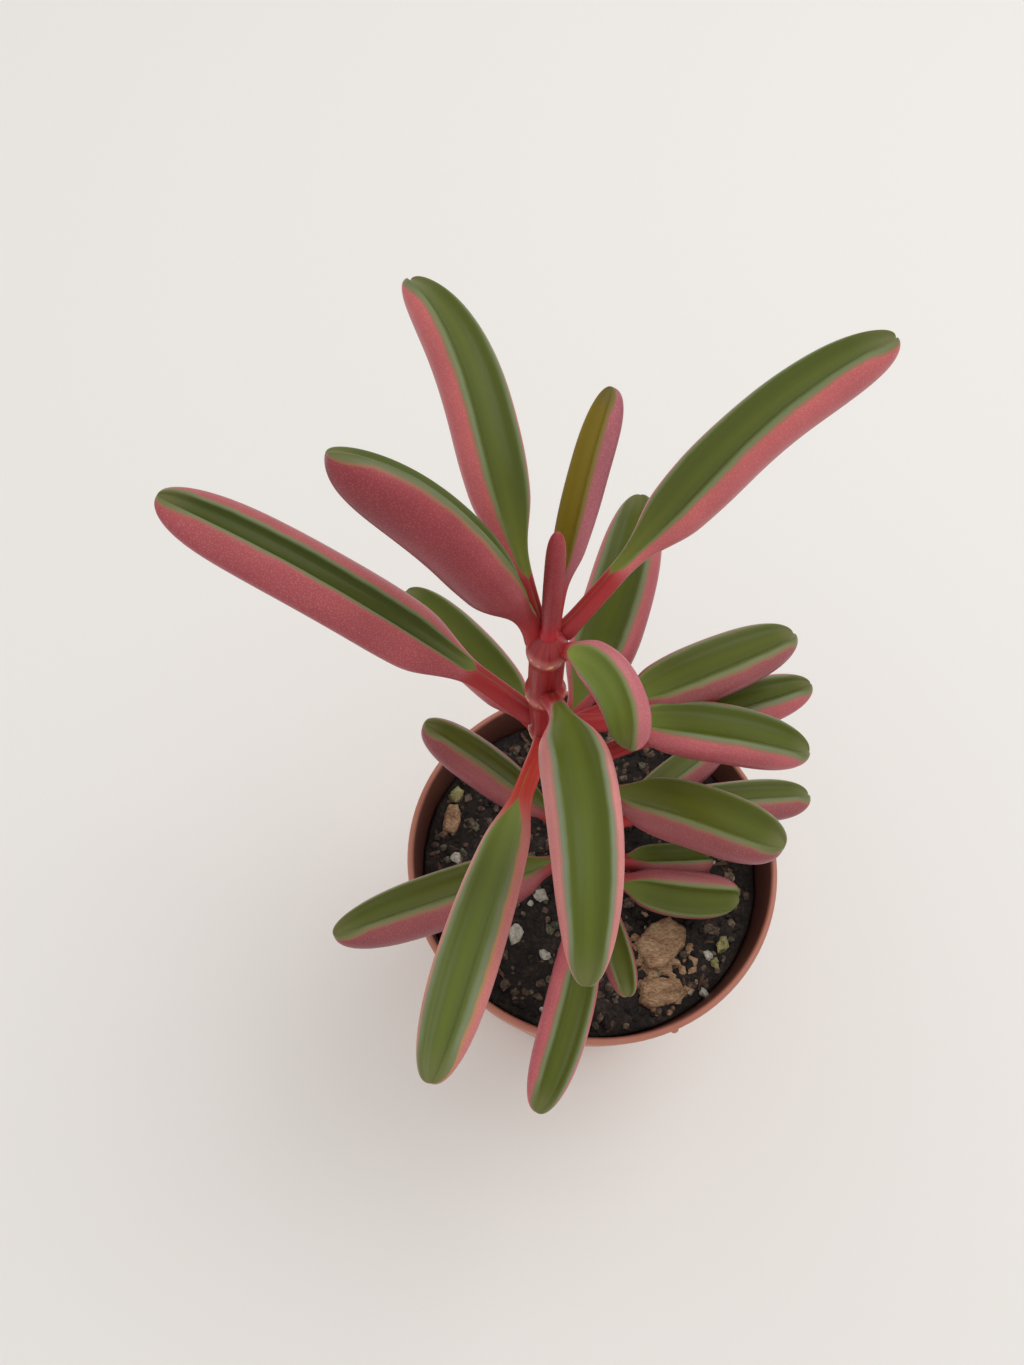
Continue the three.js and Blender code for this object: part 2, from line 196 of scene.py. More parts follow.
def rolled_skin(
    name: str, rows: int, around: int, place: Place, chart: Callable[[float], float]
) -> bpy.types.Object:
    """A closed skin: a grid sheet rolled round its sections and welded.

    Args:
        name: the piece's name.
        rows: faces along the piece.
        around: faces around it.
        place: gives a point in millimetres from the row's share and the turn's share.
        chart: gives the UV map's lengthwise place from the row's share.

    Returns:
        The smooth shaded mesh object, with its place in its mesh.
    """
    deselect_all()
    bpy.ops.mesh.primitive_grid_add(
        x_subdivisions=around, y_subdivisions=rows, size=1, calc_uvs=True
    )
    piece = bpy.context.active_object
    piece.name = name
    mesh = piece.data
    for loop in mesh.uv_layers.active.data:
        loop.uv = (chart(loop.uv[1]), loop.uv[0])
    for vertex in mesh.vertices:
        vertex.co = place(vertex.co.y + 0.5, vertex.co.x + 0.5) * MM
    weld(piece)
    apply_modifier(piece, "SUBSURF", levels=1, render_levels=1)
    bpy.ops.object.shade_smooth()
    return piece


def ring_stack(name: str, sides: int, outline: Sequence[tuple[float, float]]) -> bpy.types.Object:
    """A turned piece: a circle extruded and resized ring by ring along its outline.

    Args:
        name: the piece's name.
        sides: points on each ring.
        outline: radius and height of each ring in millimetres, a radius of 0 closing an end.

    Returns:
        The closed mesh object.
    """
    deselect_all()
    (first, height), rest = outline[1], outline[2:-1]
    bpy.ops.mesh.primitive_circle_add(
        vertices=sides, radius=first * MM, fill_type="NOTHING", location=(0, 0, height * MM)
    )
    piece = bpy.context.active_object
    piece.name = name
    bpy.ops.object.transform_apply(location=True, rotation=False, scale=False)
    bpy.ops.object.mode_set(mode="EDIT")
    bpy.ops.mesh.select_all(action="SELECT")
    bpy.ops.mesh.extrude_region_move(TRANSFORM_OT_translate={"value": (0, 0, 0)})
    bpy.ops.mesh.merge(type="CENTER")
    bpy.ops.mesh.select_all(action="DESELECT")
    bpy.ops.object.mode_set(mode="OBJECT")
    for vertex in piece.data.vertices:
        vertex.select = vertex.co.xy.length > first * MM / 2
    bpy.ops.object.mode_set(mode="EDIT")
    bpy.ops.mesh.select_mode(type="VERT")
    was = first
    for radius, up in rest:
        bpy.ops.mesh.extrude_region_move(
            TRANSFORM_OT_translate={"value": (0, 0, (up - height) * MM)}
        )
        bpy.ops.transform.resize(
            value=(radius / was, radius / was, 1), center_override=(0, 0, up * MM)
        )
        was, height = radius, up
    bpy.ops.mesh.extrude_region_move(TRANSFORM_OT_translate={"value": (0, 0, 0)})
    bpy.ops.mesh.merge(type="CENTER")
    bpy.ops.object.mode_set(mode="OBJECT")
    weld(piece)
    return piece


def settle(
    piece: bpy.types.Object, finish: bpy.types.Material, slot: str, *nodes: str
) -> bpy.types.Object:
    """Gives a finished piece its finish and its body, and hides the nodes it stands for.

    Args:
        piece: the mesh object.
        finish: its material.
        slot: the record's slot that the finish belongs to; not used.
        nodes: the nodes of the part that it replaces.

    Returns:
        The same piece.
    """
    piece.data.materials.clear()
    piece.data.materials.append(finish)
    piece.data.name = piece.name
    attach(piece, BODY)
    if nodes:
        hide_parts(*nodes)
    LOG.info("%s: %d faces", piece.name, len(piece.data.polygons))
    return piece


class Graph:
    """A material's node tree, with one way to add a node."""

    def __init__(self, name: str) -> None:
        """Starts a material that has only its shader.

        Args:
            name: the material's name.
        """
        self.material = bpy.data.materials.new(name)
        self.material.use_nodes = True
        self.tree = self.material.node_tree
        self.shader = self.tree.nodes["Principled BSDF"]

    def add(
        self,
        kind: str,
        feeds: dict | None = None,
        out: int | str = 0,
        stops: Sequence[tuple[float, Colour]] = (),
        **settings: object,
    ) -> bpy.types.NodeSocket:
        """Adds a node with its settings, stops and links.

        Args:
            kind: the node's type, without its "ShaderNode" prefix.
            feeds: a value or an output for each named or numbered input.
            out: the output to hand back.
            stops: place and colour of each stop of a colour ramp.
            settings: the node's properties by name.

        Returns:
            The output asked for.
        """
        made = self.tree.nodes.new("ShaderNode" + kind)
        for name, value in settings.items():
            setattr(made, name, value)
        if stops:
            elements = made.color_ramp.elements
            elements.remove(elements[1])
            elements[0].position, elements[0].color = stops[0]
            for at, colour in stops[1:]:
                elements.new(at).color = colour
        self.feed(made, feeds or {})
        return made.outputs[out]

    def feed(self, made: bpy.types.Node, feeds: dict) -> None:
        """Links or sets the inputs of a node.

        Args:
            made: the node.
            feeds: a value or an output for each named or numbered input.
        """
        for socket, value in feeds.items():
            if isinstance(value, bpy.types.NodeSocket):
                self.tree.links.new(value, made.inputs[socket])
            else:
                made.inputs[socket].default_value = value

    def finish(self, **feeds: object) -> bpy.types.Material:
        """Feeds the shader and hands back the material.

        Args:
            feeds: shader inputs, their names written with underscores.

        Returns:
            The material.
        """
        self.feed(self.shader, {name.replace("_", " "): v for name, v in feeds.items()})
        return self.material


def grey(value: float) -> Colour:
    """A ramp stop's grey of that value."""
    return (value, value, value, 1.0)


# Finishes


# Where the green window ends between the groove at 0 and the keel at 1, at places
# along the blade
WINDOW_EDGE = (
    (0.0, 0.0),
    (0.035, 0.1),
    (0.07, 0.22),
    (0.12, 0.32),
    (0.2, 0.36),
    (0.4, 0.375),
    (0.88, 0.39),
    (1.0, 0.5),
)
# A window never gets narrower than this, so that shares of it can be taken
NARROWEST_WINDOW = 0.004


@dataclass(frozen=True)
class LeafFinish:
    """Living leaf skin: a clear green window above and rose flanks below.

    The skin is waxy, so it has a soft gloss, and its cells show on the flanks
    as fine pale grains. The heart's green has passed into the window's own at
    heart_share of the window's half breadth, and its pale grey green band, a painted
    sheen where the window's rounded lips reflect the bright sky, comes in between
    the two sheen_band_shares. Towards the keel the flanks darken, painted shade on
    the underside. The green of the blade's base and of its tip fade over the
    young and the old span of the blade, and the petiole's red over red_span of the
    chart. edge_drift is how far the window's edge wanders, line_share how strong
    the line along it is, and streaks how many streaks there are along the leaf and
    round it. Lifts are factors on the brightness.
    """

    name: str = "leaf_skin"
    heart: str = "#545e18"
    green: str = "#4e5816"
    # the band's colour is painted sheen: the pale grey green where the window's rounded lips reflect the
    # bright sky
    band: str = "#757f5e"
    base_green: str = "#6c7a30"
    tip_green: str = "#6f7044"
    line: str = "#a06c50"
    rose: str = "#c0686a"
    flank: str = "#b05860"
    # the keel's colour is painted shade: the deeper red where the underside faces away from the light
    keel: str = "#90404a"
    grain: str = "#dba09c"
    petiole: str = "#a23032"
    petiole_foot: str = "#98343a"
    window_reach: float = 1.0
    heart_share: float = 0.3
    sheen_band_shares: tuple[float, float] = (0.74, 0.9)
    edge_drift: float = 0.05
    edge_drift_mm: float = 4.0
    young: float = 0.85
    young_span: tuple[float, float] = (0.02, 0.38)
    old: float = 0.7
    old_span: tuple[float, float] = (0.86, 1.0)
    streaks: tuple[float, float] = (3.0, 60.0)
    streak_lift: tuple[float, float] = (0.97, 1.03)
    sparkle: float = 0.32
    sparkle_span: tuple[float, float] = (0.1, 0.45)
    grain_mm: float = 0.2
    patch_mm: float = 7.0
    patch_lift: tuple[float, float] = (0.9, 1.1)
    red_span: tuple[float, float] = (0.16, 0.34)
    line_share: float = 0.6
    roughness: tuple[float, float] = (0.3, 0.42)
    relief_mm: float = 0.05

    def make(self) -> bpy.types.Material:
        """Builds the material.

        Returns:
            The leaf's material, which reads the piece's own UV map.
        """
        g = Graph(self.name)
        parts = g.add("SeparateXYZ", {0: g.add("UVMap")}).node
        along, turn = parts.outputs[0], parts.outputs[1]
        place = g.add("TexCoord", out="Object")
        # away: 0 at the bottom of the groove, 1 at the keel
        away = g.add("Math", {0: turn, 1: 0.5}, operation="SUBTRACT")
        away = g.add("Math", {0: away}, operation="ABSOLUTE")
        away = g.add("Math", {0: away, 1: 2.0}, operation="MULTIPLY")
        # the window's edge wanders a little
        drift = g.add(
            "TexNoise", {"Vector": place, "Scale": 1 / (self.edge_drift_mm * MM), "Detail": 2.0}
        )
        drift = g.add("Math", {0: drift, 1: 0.5}, operation="SUBTRACT")
        away = g.add("Math", {0: drift, 1: self.edge_drift, 2: away}, operation="MULTIPLY_ADD")
        blade = g.add("MapRange", {0: along, 1: PETIOLE_CHART, 2: 1.0})
        reach = g.add(
            "ValToRGB", {0: blade}, stops=[(at, grey(edge)) for at, edge in WINDOW_EDGE]
        )
        reach = g.add("Math", {0: reach, 1: self.window_reach}, operation="MULTIPLY")
        reach = g.add("Math", {0: reach, 1: NARROWEST_WINDOW}, operation="MAXIMUM")
        # ratio: 0 at the bottom of the groove, 1 at the window's edge
        ratio = g.add("Math", {0: away, 1: reach}, operation="DIVIDE")
        # the heart, the window's green, and near the window's edge the band of painted sheen
        window = g.add(
            "ValToRGB",
            {0: ratio},
            stops=[
                (0.0, linear(self.heart)),
                (self.heart_share, linear(self.green)),
                (self.sheen_band_shares[0], linear(self.green)),
                (self.sheen_band_shares[1], linear(self.band)),
            ],
        )
        young = g.add(
            "MapRange",
            {0: blade, 1: self.young_span[0], 2: self.young_span[1], 3: self.young, 4: 0.0},
            interpolation_type="SMOOTHSTEP",
        )
        window = g.add(
            "Mix", {0: young, 6: window, 7: linear(self.base_green)}, out=2, data_type="RGBA"
        )
        old = g.add(
            "MapRange",
            {0: blade, 1: self.old_span[0], 2: self.old_span[1], 3: 0.0, 4: self.old},
            interpolation_type="SMOOTHSTEP",
        )
        window = g.add(
            "Mix", {0: old, 6: window, 7: linear(self.tip_green)}, out=2, data_type="RGBA"
        )
        # streaks along the window, about 0.4 mm apart
        stretched = g.add(
            "CombineXYZ",
            {
                0: g.add("Math", {0: along, 1: self.streaks[0]}, operation="MULTIPLY"),
                1: g.add("Math", {0: turn, 1: self.streaks[1]}, operation="MULTIPLY"),
            },
        )
        streak = g.add("TexNoise", {"Vector": stretched, "Scale": 1.0, "Detail": 3.0})
        low, high = self.streak_lift
        lift = g.add("MapRange", {0: streak, 1: NOISE_LOW, 2: NOISE_HIGH, 3: low, 4: high})
        window = g.add("HueSaturation", {"Color": window, "Value": lift})
        # rose beside the window, darker towards the keel: painted shade on the underside, which faces
        # away from the light
        flank = g.add(
            "ValToRGB",
            {0: away},
            stops=[
                (0.3, linear(self.rose)),
                (0.55, linear(self.flank)),
                (1.0, linear(self.keel)),
            ],
        )
        cells = g.add(
            "TexVoronoi", {"Vector": place, "Scale": 1 / (self.grain_mm * MM)}, out="Distance"
        )
        near, far = self.sparkle_span
        sparkle = g.add("MapRange", {0: cells, 1: near, 2: far, 3: self.sparkle, 4: 0.0})
        flank = g.add(
            "Mix", {0: sparkle, 6: flank, 7: linear(self.grain)}, out=2, data_type="RGBA"
        )
        patch = g.add(
            "TexNoise", {"Vector": place, "Scale": 1 / (self.patch_mm * MM), "Detail": 3.0}
        )
        low, high = self.patch_lift
        patch = g.add("MapRange", {0: patch, 1: NOISE_LOW, 2: NOISE_HIGH, 3: low, 4: high})
        flank = g.add("HueSaturation", {"Color": flank, "Value": patch})
        stalk = g.add(
            "ValToRGB",
            {0: along},
            stops=[(0.0, linear(self.petiole_foot)), (0.12, linear(self.petiole))],
        )
        red = g.add(
            "MapRange",
            {0: along, 1: self.red_span[0], 2: self.red_span[1], 3: 1.0, 4: 0.0},
            interpolation_type="SMOOTHSTEP",
        )
        flank = g.add("Mix", {0: red, 6: flank, 7: stalk}, out=2, data_type="RGBA")
        # the window meets the flank softly, and a thin line runs between them
        beyond = g.add("MapRange", {0: ratio, 1: 0.96, 2: 1.06})
        skin = g.add("Mix", {0: beyond, 6: window, 7: flank}, out=2, data_type="RGBA")
        edge = g.add(
            "ValToRGB",
            {0: g.add("Math", {0: ratio, 1: 0.5}, operation="MULTIPLY")},
            stops=[(0.47, grey(0.0)), (0.5, grey(self.line_share)), (0.535, grey(0.0))],
        )
        skin = g.add("Mix", {0: edge, 6: skin, 7: linear(self.line)}, out=2, data_type="RGBA")
        low, high = self.roughness
        rough = g.add("MapRange", {0: streak, 1: NOISE_LOW, 2: NOISE_HIGH, 3: low, 4: high})
        relief = g.add("Math", {0: cells, 1: streak}, operation="MULTIPLY")
        bump = g.add(
            "Bump", {"Height": relief, "Strength": 0.16, "Distance": self.relief_mm * MM}
        )
        return g.finish(
            Base_Color=skin,
            Roughness=rough,
            Normal=bump,
            IOR=1.42,
            Specular_IOR_Level=0.25,
            Subsurface_Weight=0.12,
            Subsurface_Radius=(1.0, 0.4, 0.25),
            Subsurface_Scale=1.2 * MM,
        )


GROWN = LeafFinish()


class LeafKind(Enum):
    """The finishes that the leaves wear."""

    GROWN = GROWN
    # A lighter, yellower copy of the grown skin: painted light on the upper leaves
    TOP = replace(
        GROWN,
        name="leaf_skin_sunlit",
        heart="#5a6420",
        green="#525c20",
        band="#74805a",
        base_green="#7d8636",
        rose="#c46664",
        flank="#ba6064",
    )
    PALE = replace(
        GROWN,
        name="leaf_skin_pale",
        heart="#5c6820",
        green="#55601f",
        band="#7c866a",
        rose="#d08a86",
        flank="#be706e",
        line="#b4746a",
    )
    NODDING = replace(
        GROWN,
        name="leaf_skin_nodding",
        heart="#76863a",
        green="#6e7e34",
        band="#7f8a5c",
        base_green="#8c9a46",
        rose="#c67c7c",
        flank="#b4606a",
        line="#b4746a",
    )
    # A copy of the grown skin with a broader window and darker maroon flanks and keel, the darkness
    # painted shade on a leaf whose flanks face down
    SHADED_MAROON = replace(
        GROWN,
        name="leaf_skin_shaded_maroon",
        heart="#546020",
        green="#4e581e",
        band="#6a7350",
        rose="#a24c4e",
        flank="#943f46",
        keel="#7a323c",
        grain="#c07e7a",
        window_reach=1.08,
    )
    DARK = replace(
        GROWN,
        name="leaf_skin_dark",
        heart="#485216",
        green="#434d14",
        rose="#b25a5c",
        flank="#a04a52",
        window_reach=0.85,
    )
    # A copy of the grown skin with darker, duller flanks and keel: painted shade on the lower leaves
    # near the pot
    LOW = replace(
        GROWN,
        name="leaf_skin_shaded_low",
        heart="#59621e",
        green="#535c1e",
        band="#787f58",
        rose="#9e5a58",
        flank="#8e4a50",
        keel="#783a44",
        grain="#bf8a84",
    )
    FRONT = replace(
        GROWN,
        name="leaf_skin_orange_foot",
        heart="#62702c",
        green="#5c6930",
        base_green="#7e9242",
        line="#bb8850",
        rose="#cc8076",
        flank="#b86a68",
        window_reach=1.1,
        petiole="#bd3a2e",
        petiole_foot="#b23c38",
    )
    YOUNG = replace(
        GROWN,
        name="leaf_skin_young",
        heart="#887418",
        green="#83701c",
        band="#8a7a44",
        base_green="#927c26",
        tip_green="#6c6440",
        rose="#b87076",
        flank="#a45a66",
        keel="#843f4c",
    )
    BUD = replace(
        GROWN,
        name="leaf_skin_bud",
        rose="#a04046",
        flank="#963a40",
        keel="#96383e",
        grain="#bc7474",
        petiole="#b0303c",
        petiole_foot="#b4303a",
    )


@dataclass(frozen=True)
class StemFinish:
    """Fleshy red stem, smooth and glossy, with pale rings at its nodes.

    The collar and ring spans are shares of the stem's height, away from a node,
    over which the pale collar and the ring of leaf scars fade. The pale collar is
    partly the nodes' own paler skin and partly a painted highlight on their swollen
    ridges. The streak counts are along the stem and round it.
    """

    name: str = "stem_skin"
    red: str = "#a43032"
    deep: str = "#7e2228"
    # the collar's colour: the nodes' paler skin together with a painted highlight on their ridges
    pale: str = "#d98a86"
    scar: str = "#e6c08a"
    streaks: tuple[float, float] = (8.0, 40.0)
    collar: float = 0.45
    collar_span: tuple[float, float] = (0.004, 0.018)
    ring_span: tuple[float, float] = (0.003, 0.006)
    scar_mm: float = 0.7
    relief_mm: float = 0.1

    def make(self, node_places: Sequence[float]) -> bpy.types.Material:
        """Builds the material.

        Args:
            node_places: lengthwise places of the nodes on the stem's UV map.

        Returns:
            The stem's material, which reads the piece's own UV map.
        """
        g = Graph(self.name)
        parts = g.add("SeparateXYZ", {0: g.add("UVMap")}).node
        along, turn = parts.outputs[0], parts.outputs[1]
        place = g.add("TexCoord", out="Object")
        stretched = g.add(
            "CombineXYZ",
            {
                0: g.add("Math", {0: along, 1: self.streaks[0]}, operation="MULTIPLY"),
                1: g.add("Math", {0: turn, 1: self.streaks[1]}, operation="MULTIPLY"),
            },
        )
        streak = g.add("TexNoise", {"Vector": stretched, "Scale": 1.0, "Detail": 3.0})
        skin = g.add(
            "ValToRGB", {0: streak}, stops=[(0.3, linear(self.deep)), (0.65, linear(self.red))]
        )
        # near: how far the nearest node is
        near = None
        for at in node_places:
            gap = g.add("Math", {0: along, 1: at}, operation="SUBTRACT")
            gap = g.add("Math", {0: gap}, operation="ABSOLUTE")
            near = gap if near is None else g.add("Math", {0: near, 1: gap}, operation="MINIMUM")
        # the pale collar at each node: the node's paler skin and a painted highlight on its swollen
        # ridge
        collar = g.add(
            "MapRange",
            {0: near, 1: self.collar_span[0], 2: self.collar_span[1], 3: self.collar, 4: 0.0},
            interpolation_type="SMOOTHSTEP",
        )
        skin = g.add("Mix", {0: collar, 6: skin, 7: linear(self.pale)}, out=2, data_type="RGBA")
        # the scars are broken up into dots
        dots = g.add(
            "TexNoise", {"Vector": place, "Scale": 1 / (self.scar_mm * MM), "Detail": 1.0}
        )
        dots = g.add("MapRange", {0: dots, 1: 0.5, 2: 0.62})
        inner, outer = self.ring_span
        ring = g.add("MapRange", {0: near, 1: inner, 2: outer, 3: 1.0, 4: 0.0})
        scars = g.add("Math", {0: dots, 1: ring}, operation="MULTIPLY")
        skin = g.add("Mix", {0: scars, 6: skin, 7: linear(self.scar)}, out=2, data_type="RGBA")
        bump = g.add("Bump", {"Height": streak, "Strength": 0.2, "Distance": self.relief_mm * MM})
        return g.finish(
            Base_Color=skin,
            Normal=bump,
            Roughness=0.32,
            IOR=1.42,
            Subsurface_Weight=0.15,
            Subsurface_Radius=(1.0, 0.3, 0.2),
            Subsurface_Scale=1.2 * MM,
        )


@dataclass(frozen=True)
class PotFinish:
    """Injection moulded polypropylene, a dull brick red with a faint moulded grain.

    Painted shade darkens the inside of the wall above the height shade_foot, where
    the wall stands in shadow. Between the heights shade_from and shade_to the painted
    shade thins to the share rim_shade. shade_mm says how far outwards from the wall's
    inner face it is full and where it ends, so that the outside stays unshaded.
    """

    name: str = "moulded_polypropylene"
    body: str = "#ab6955"
    worn: str = "#bb7f6b"
    # the colour of the painted shade on the inner wall above the soil
    painted_shade: str = "#44251f"
    cloud_mm: float = 14.0
    grain_mm: float = 0.5
    relief_mm: float = 0.05
    shade_mm: tuple[float, float] = (0.05, 0.4)
    shade_from: float = SOIL_LEVEL - 1
    shade_to: float = POT_HEIGHT - 0.4
    shade_foot: float = POT_HEIGHT - POT_RIM_DEPTH + 0.4
    rim_shade: float = 0.8
    roughness: tuple[float, float] = (0.42, 0.56)

    def make(self) -> bpy.types.Material:
        """Builds the material, with painted shade inside the wall.

        Returns:
            The pot's material.
        """
        g = Graph(self.name)
        place = g.add("TexCoord", out="Object")
        cloud = g.add(
            "TexNoise", {"Vector": place, "Scale": 1 / (self.cloud_mm * MM), "Detail": 4.0}
        )
        skin = g.add(
            "ValToRGB", {0: cloud}, stops=[(0.35, linear(self.body)), (0.75, linear(self.worn))]
        )
        parts = g.add("SeparateXYZ", {0: place}).node
        flat = g.add("CombineXYZ", {0: parts.outputs[0], 1: parts.outputs[1]})
        radius = g.add("VectorMath", {0: flat}, out="Value", operation="LENGTH")
        # wall: the inner wall's radius at this height
        wall = g.add(
            "MapRange",
            {
                0: parts.outputs[2],
                1: (POT_HEIGHT - POT_RIM_DEPTH) * MM,
                2: POT_HEIGHT * MM,
                3: (POT_RIM_RADIUS - POT_RIM_TAPER - POT_WALL) * MM,
                4: (POT_RIM_RADIUS - POT_WALL) * MM,
            },
        )
        # painted shade on the inner wall of the rim band: full at the wall's face, gone outside it,
        # thinner towards the rim
        beyond = g.add("Math", {0: radius, 1: wall}, operation="SUBTRACT")
        full, end = self.shade_mm
        inner = g.add("MapRange", {0: beyond, 1: full * MM, 2: end * MM, 3: 1.0, 4: 0.0})
        high = g.add(
            "MapRange",
            {
                0: parts.outputs[2],
                1: self.shade_from * MM,
                2: self.shade_to * MM,
                3: 1.0,
                4: self.rim_shade,
            },
        )
        above = g.add(
            "Math", {0: parts.outputs[2], 1: self.shade_foot * MM}, operation="GREATER_THAN"
        )
        wall_shade = g.add("Math", {0: inner, 1: high}, operation="MULTIPLY")
        wall_shade = g.add("Math", {0: wall_shade, 1: above}, operation="MULTIPLY")
        skin = g.add("Mix", {0: wall_shade, 6: skin, 7: linear(self.painted_shade)}, out=2, data_type="RGBA")
        grain = g.add(
            "TexNoise", {"Vector": place, "Scale": 1 / (self.grain_mm * MM), "Detail": 2.0}
        )
        bump = g.add("Bump", {"Height": grain, "Strength": 0.15, "Distance": self.relief_mm * MM})
        low, high = self.roughness
        rough = g.add("MapRange", {0: cloud, 1: NOISE_LOW, 2: NOISE_HIGH, 3: low, 4: high})
        return g.finish(Base_Color=skin, Roughness=rough, Normal=bump, IOR=1.49)


@dataclass(frozen=True)
class GroundFinish:
    """A natural material in three tones, rough all over, such as peat, bark or perlite.

    The tones are the places of the dark, middle and light colours on the mean of
    the two noises, and stretch is how much longer the patches are along X.
    """

    name: str
    dark: str
    middle: str
    light: str
    patch_mm: float
    grain_mm: float
    roughness: float = 0.9
    relief_mm: float = 0.12
    stretch: float = 1.0
    tones: Triple = (0.36, 0.5, 0.66)

    def make(self) -> bpy.types.Material:
        """Builds the material from patches and a finer grain.

        Returns:
            The material, which reads Object coordinates.
        """
        g = Graph(self.name)
        place = g.add("TexCoord", out="Object")
        place = g.add("Mapping", {"Vector": place, "Scale": (1.0, self.stretch, self.stretch)})
        cloud = g.add(
            "TexNoise", {"Vector": place, "Scale": 1 / (self.patch_mm * MM), "Detail": 5.0}
        )
        grain = g.add(
            "TexNoise", {"Vector": place, "Scale": 1 / (self.grain_mm * MM), "Detail": 4.0}
        )
        both = g.add("Math", {0: cloud, 1: grain}, operation="ADD")
        both = g.add("Math", {0: both, 1: 0.5}, operation="MULTIPLY")
        colours = [linear(code) for code in (self.dark, self.middle, self.light)]
        skin = g.add("ValToRGB", {0: both}, stops=list(zip(self.tones, colours)))
        bump = g.add("Bump", {"Height": both, "Strength": 0.7, "Distance": self.relief_mm * MM})
        return g.finish(Base_Color=skin, Normal=bump, Roughness=self.roughness, IOR=1.45)


# Damp peat: near black with a little brown
PEAT = GroundFinish("peat", "#14110f", "#26211e", "#463a32", 3.0, 0.5)
# Crumbs of drier peat: brown, paler where they stand proud
CRUMB = GroundFinish("peat_crumb", "#2f2822", "#5e4f43", "#927c66", 3.0, 0.5)
# Crumbs with a film of algae: grey green
MOSSY = GroundFinish("mossy_crumb", "#33332a", "#5c5b49", "#83806a", 2.0, 0.5)
# Fibres of peat: thin, red brown
FIBRE = GroundFinish("peat_fibre", "#3a2a22", "#5a4336", "#7a604c", 2.0, 0.4)
# Pine bark, chips and dust, broken across its layers: tan with darker corky streaks
BARK = GroundFinish("pine_bark", "#6e523c", "#a07e5e", "#c6aa86", 2.4, 0.5, 0.85, 0.3, 2.2)
# Puffed perlite: chalky white with a grey dust
PERLITE = GroundFinish("perlite", "#8d8a80", "#bcb8ab", "#dcd9cd", 1.0, 0.3, 0.8)
# Horticultural grit: dull yellow green stone
GRIT = GroundFinish("grit", "#6f6a45", "#98925e", "#b9b284", 1.2, 0.3, 0.7)


# Stem


class StemLine:
    """The stem's middle line, a centripetal curve through its points."""

    def __init__(self) -> None:
        """Keeps the curve's points with one more beyond each end."""
        points = [Vector(at) for at in STEM_LINE]
        self.points = [2 * points[0] - points[1], *points, 2 * points[-1] - points[-2]]

    def at(self, share: float) -> Vector:
        """Gives a point of the curve.

        Args:
            share: place along the curve, from 0 to 1.

        Returns:
            The point in millimetres.
        """
        spans = len(self.points) - 3
        whole = min(int(share * spans), spans - 1)
        t = share * spans - whole
        a, b, c, d = self.points[whole : whole + 4]
        ab, bc, cd = (math.sqrt((q - p).length) for p, q in ((a, b), (b, c), (c, d)))
        leave = ((b - a) / ab - (c - a) / (ab + bc) + (c - b) / bc) * bc
        arrive = ((c - b) / bc - (d - b) / (bc + cd) + (d - c) / cd) * bc
        return (
            b
            + leave * t
            + (3 * (c - b) - 2 * leave - arrive) * t**2
            + (2 * (b - c) + leave + arrive) * t**3
        )

    def at_height(self, height: float) -> Vector:
        """Gives the curve's point at a height.

        Args:
            height: height above the underside in millimetres.

        Returns:
            The point in millimetres.
        """
        low, high = 0.0, 1.0
        for _ in range(STEM_HALVINGS):
            middle = (low + high) / 2
            low, high = (middle, high) if self.at(middle).z < height else (low, middle)
        return self.at(low)


@dataclass
class Stem:
    """The upright red stem with its swollen nodes.

    rib is how far its shallow ribs stand out and rib_rise the height over which
    their wave moves on by a radian. crown is the height over which its tip rounds.
    """

    line: StemLine
    rows: int = 110
    around: int = 24
    swell: float = 0.42
    swell_reach: float = 2.2
    ridge: float = 0.14
    ridge_reach: float = 0.45
    rib: float = 0.05
    ribs: int = 5
    rib_rise: float = 7.0
    crown: float = 3.0
    foot: float = STEM_LINE[0][2]
    top: float = STEM_LINE[-1][2]

    def radius(self, height: float, angle: float) -> float:
        """Radius at a height and round the stem, with swellings and shallow ribs.

        Args:
            height: height above the underside in millimetres.
            angle: angle round the stem in radians.

        Returns:
            The radius in millimetres.
        """
        radius = STEM_RADIUS + self.rib * math.sin(self.ribs * angle + height / self.rib_rise)
        for node in STEM_NODES:
            away = abs(height - node)
            radius += self.swell * (1 - smooth(0, self.swell_reach, away))
            radius += self.ridge * (1 - smooth(0, self.ridge_reach, away))
        crown = smooth(self.top - self.crown, self.top, height)
        return radius * math.sqrt(max(0.0, 1 - crown**2))

    def place(self, row: float, turn: float) -> Vector:
        """Point of the skin.

        Args:
            row: share of the stem's height.
            turn: share of a turn.

        Returns:
            The point in millimetres.
        """
        height = self.foot + (self.top - self.foot) * row
        at = self.line.at_height(height)
        if row <= 0 or row >= 1:
            return at
        ahead = self.line.at_height(min(height + STEM_SLOPE_REACH, self.top))
        behind = self.line.at_height(max(height - STEM_SLOPE_REACH, self.foot))
        along = (ahead - behind).normalized()
        side = Vector((0, 1, 0)).cross(along).normalized()
        angle = 2 * math.pi * (turn % 1)
        radius = self.radius(height, angle)
        return at + radius * (math.cos(angle) * side + math.sin(angle) * along.cross(side))

    def build(self) -> None:
        """Makes the stem and dresses it."""
        skin = rolled_skin("stem_skin", self.rows, self.around, self.place, lambda row: row)
        places = [(node - self.foot) / (self.top - self.foot) for node in STEM_NODES]
        settle(skin, StemFinish().make(places), "stem", "stem")


# Leaves


# Sizes that all leaves share, as in the part
WALK_STEPS = 24
BLEND_SHARE = 0.24
TIP_ROOT = 0.48

# Places on a blade's section in shares: the groove's wall towards the lip and down
# the groove, then the flank and the underside towards the edge and down the keel
GROOVE_WALL = (0.6, 0.85)
FLANK = (0.82, 0.52)
UNDERSIDE = (0.42, 0.86)

# Directions in which the round petiole meets the section's points, from the
# middle of the groove to the keel
PETIOLE_ANGLES = (90, 66, 38, 4, -32, -62, -90)

# Added to a place round a section, so that rounding never sets it just before a point
HAIR = 1e-9


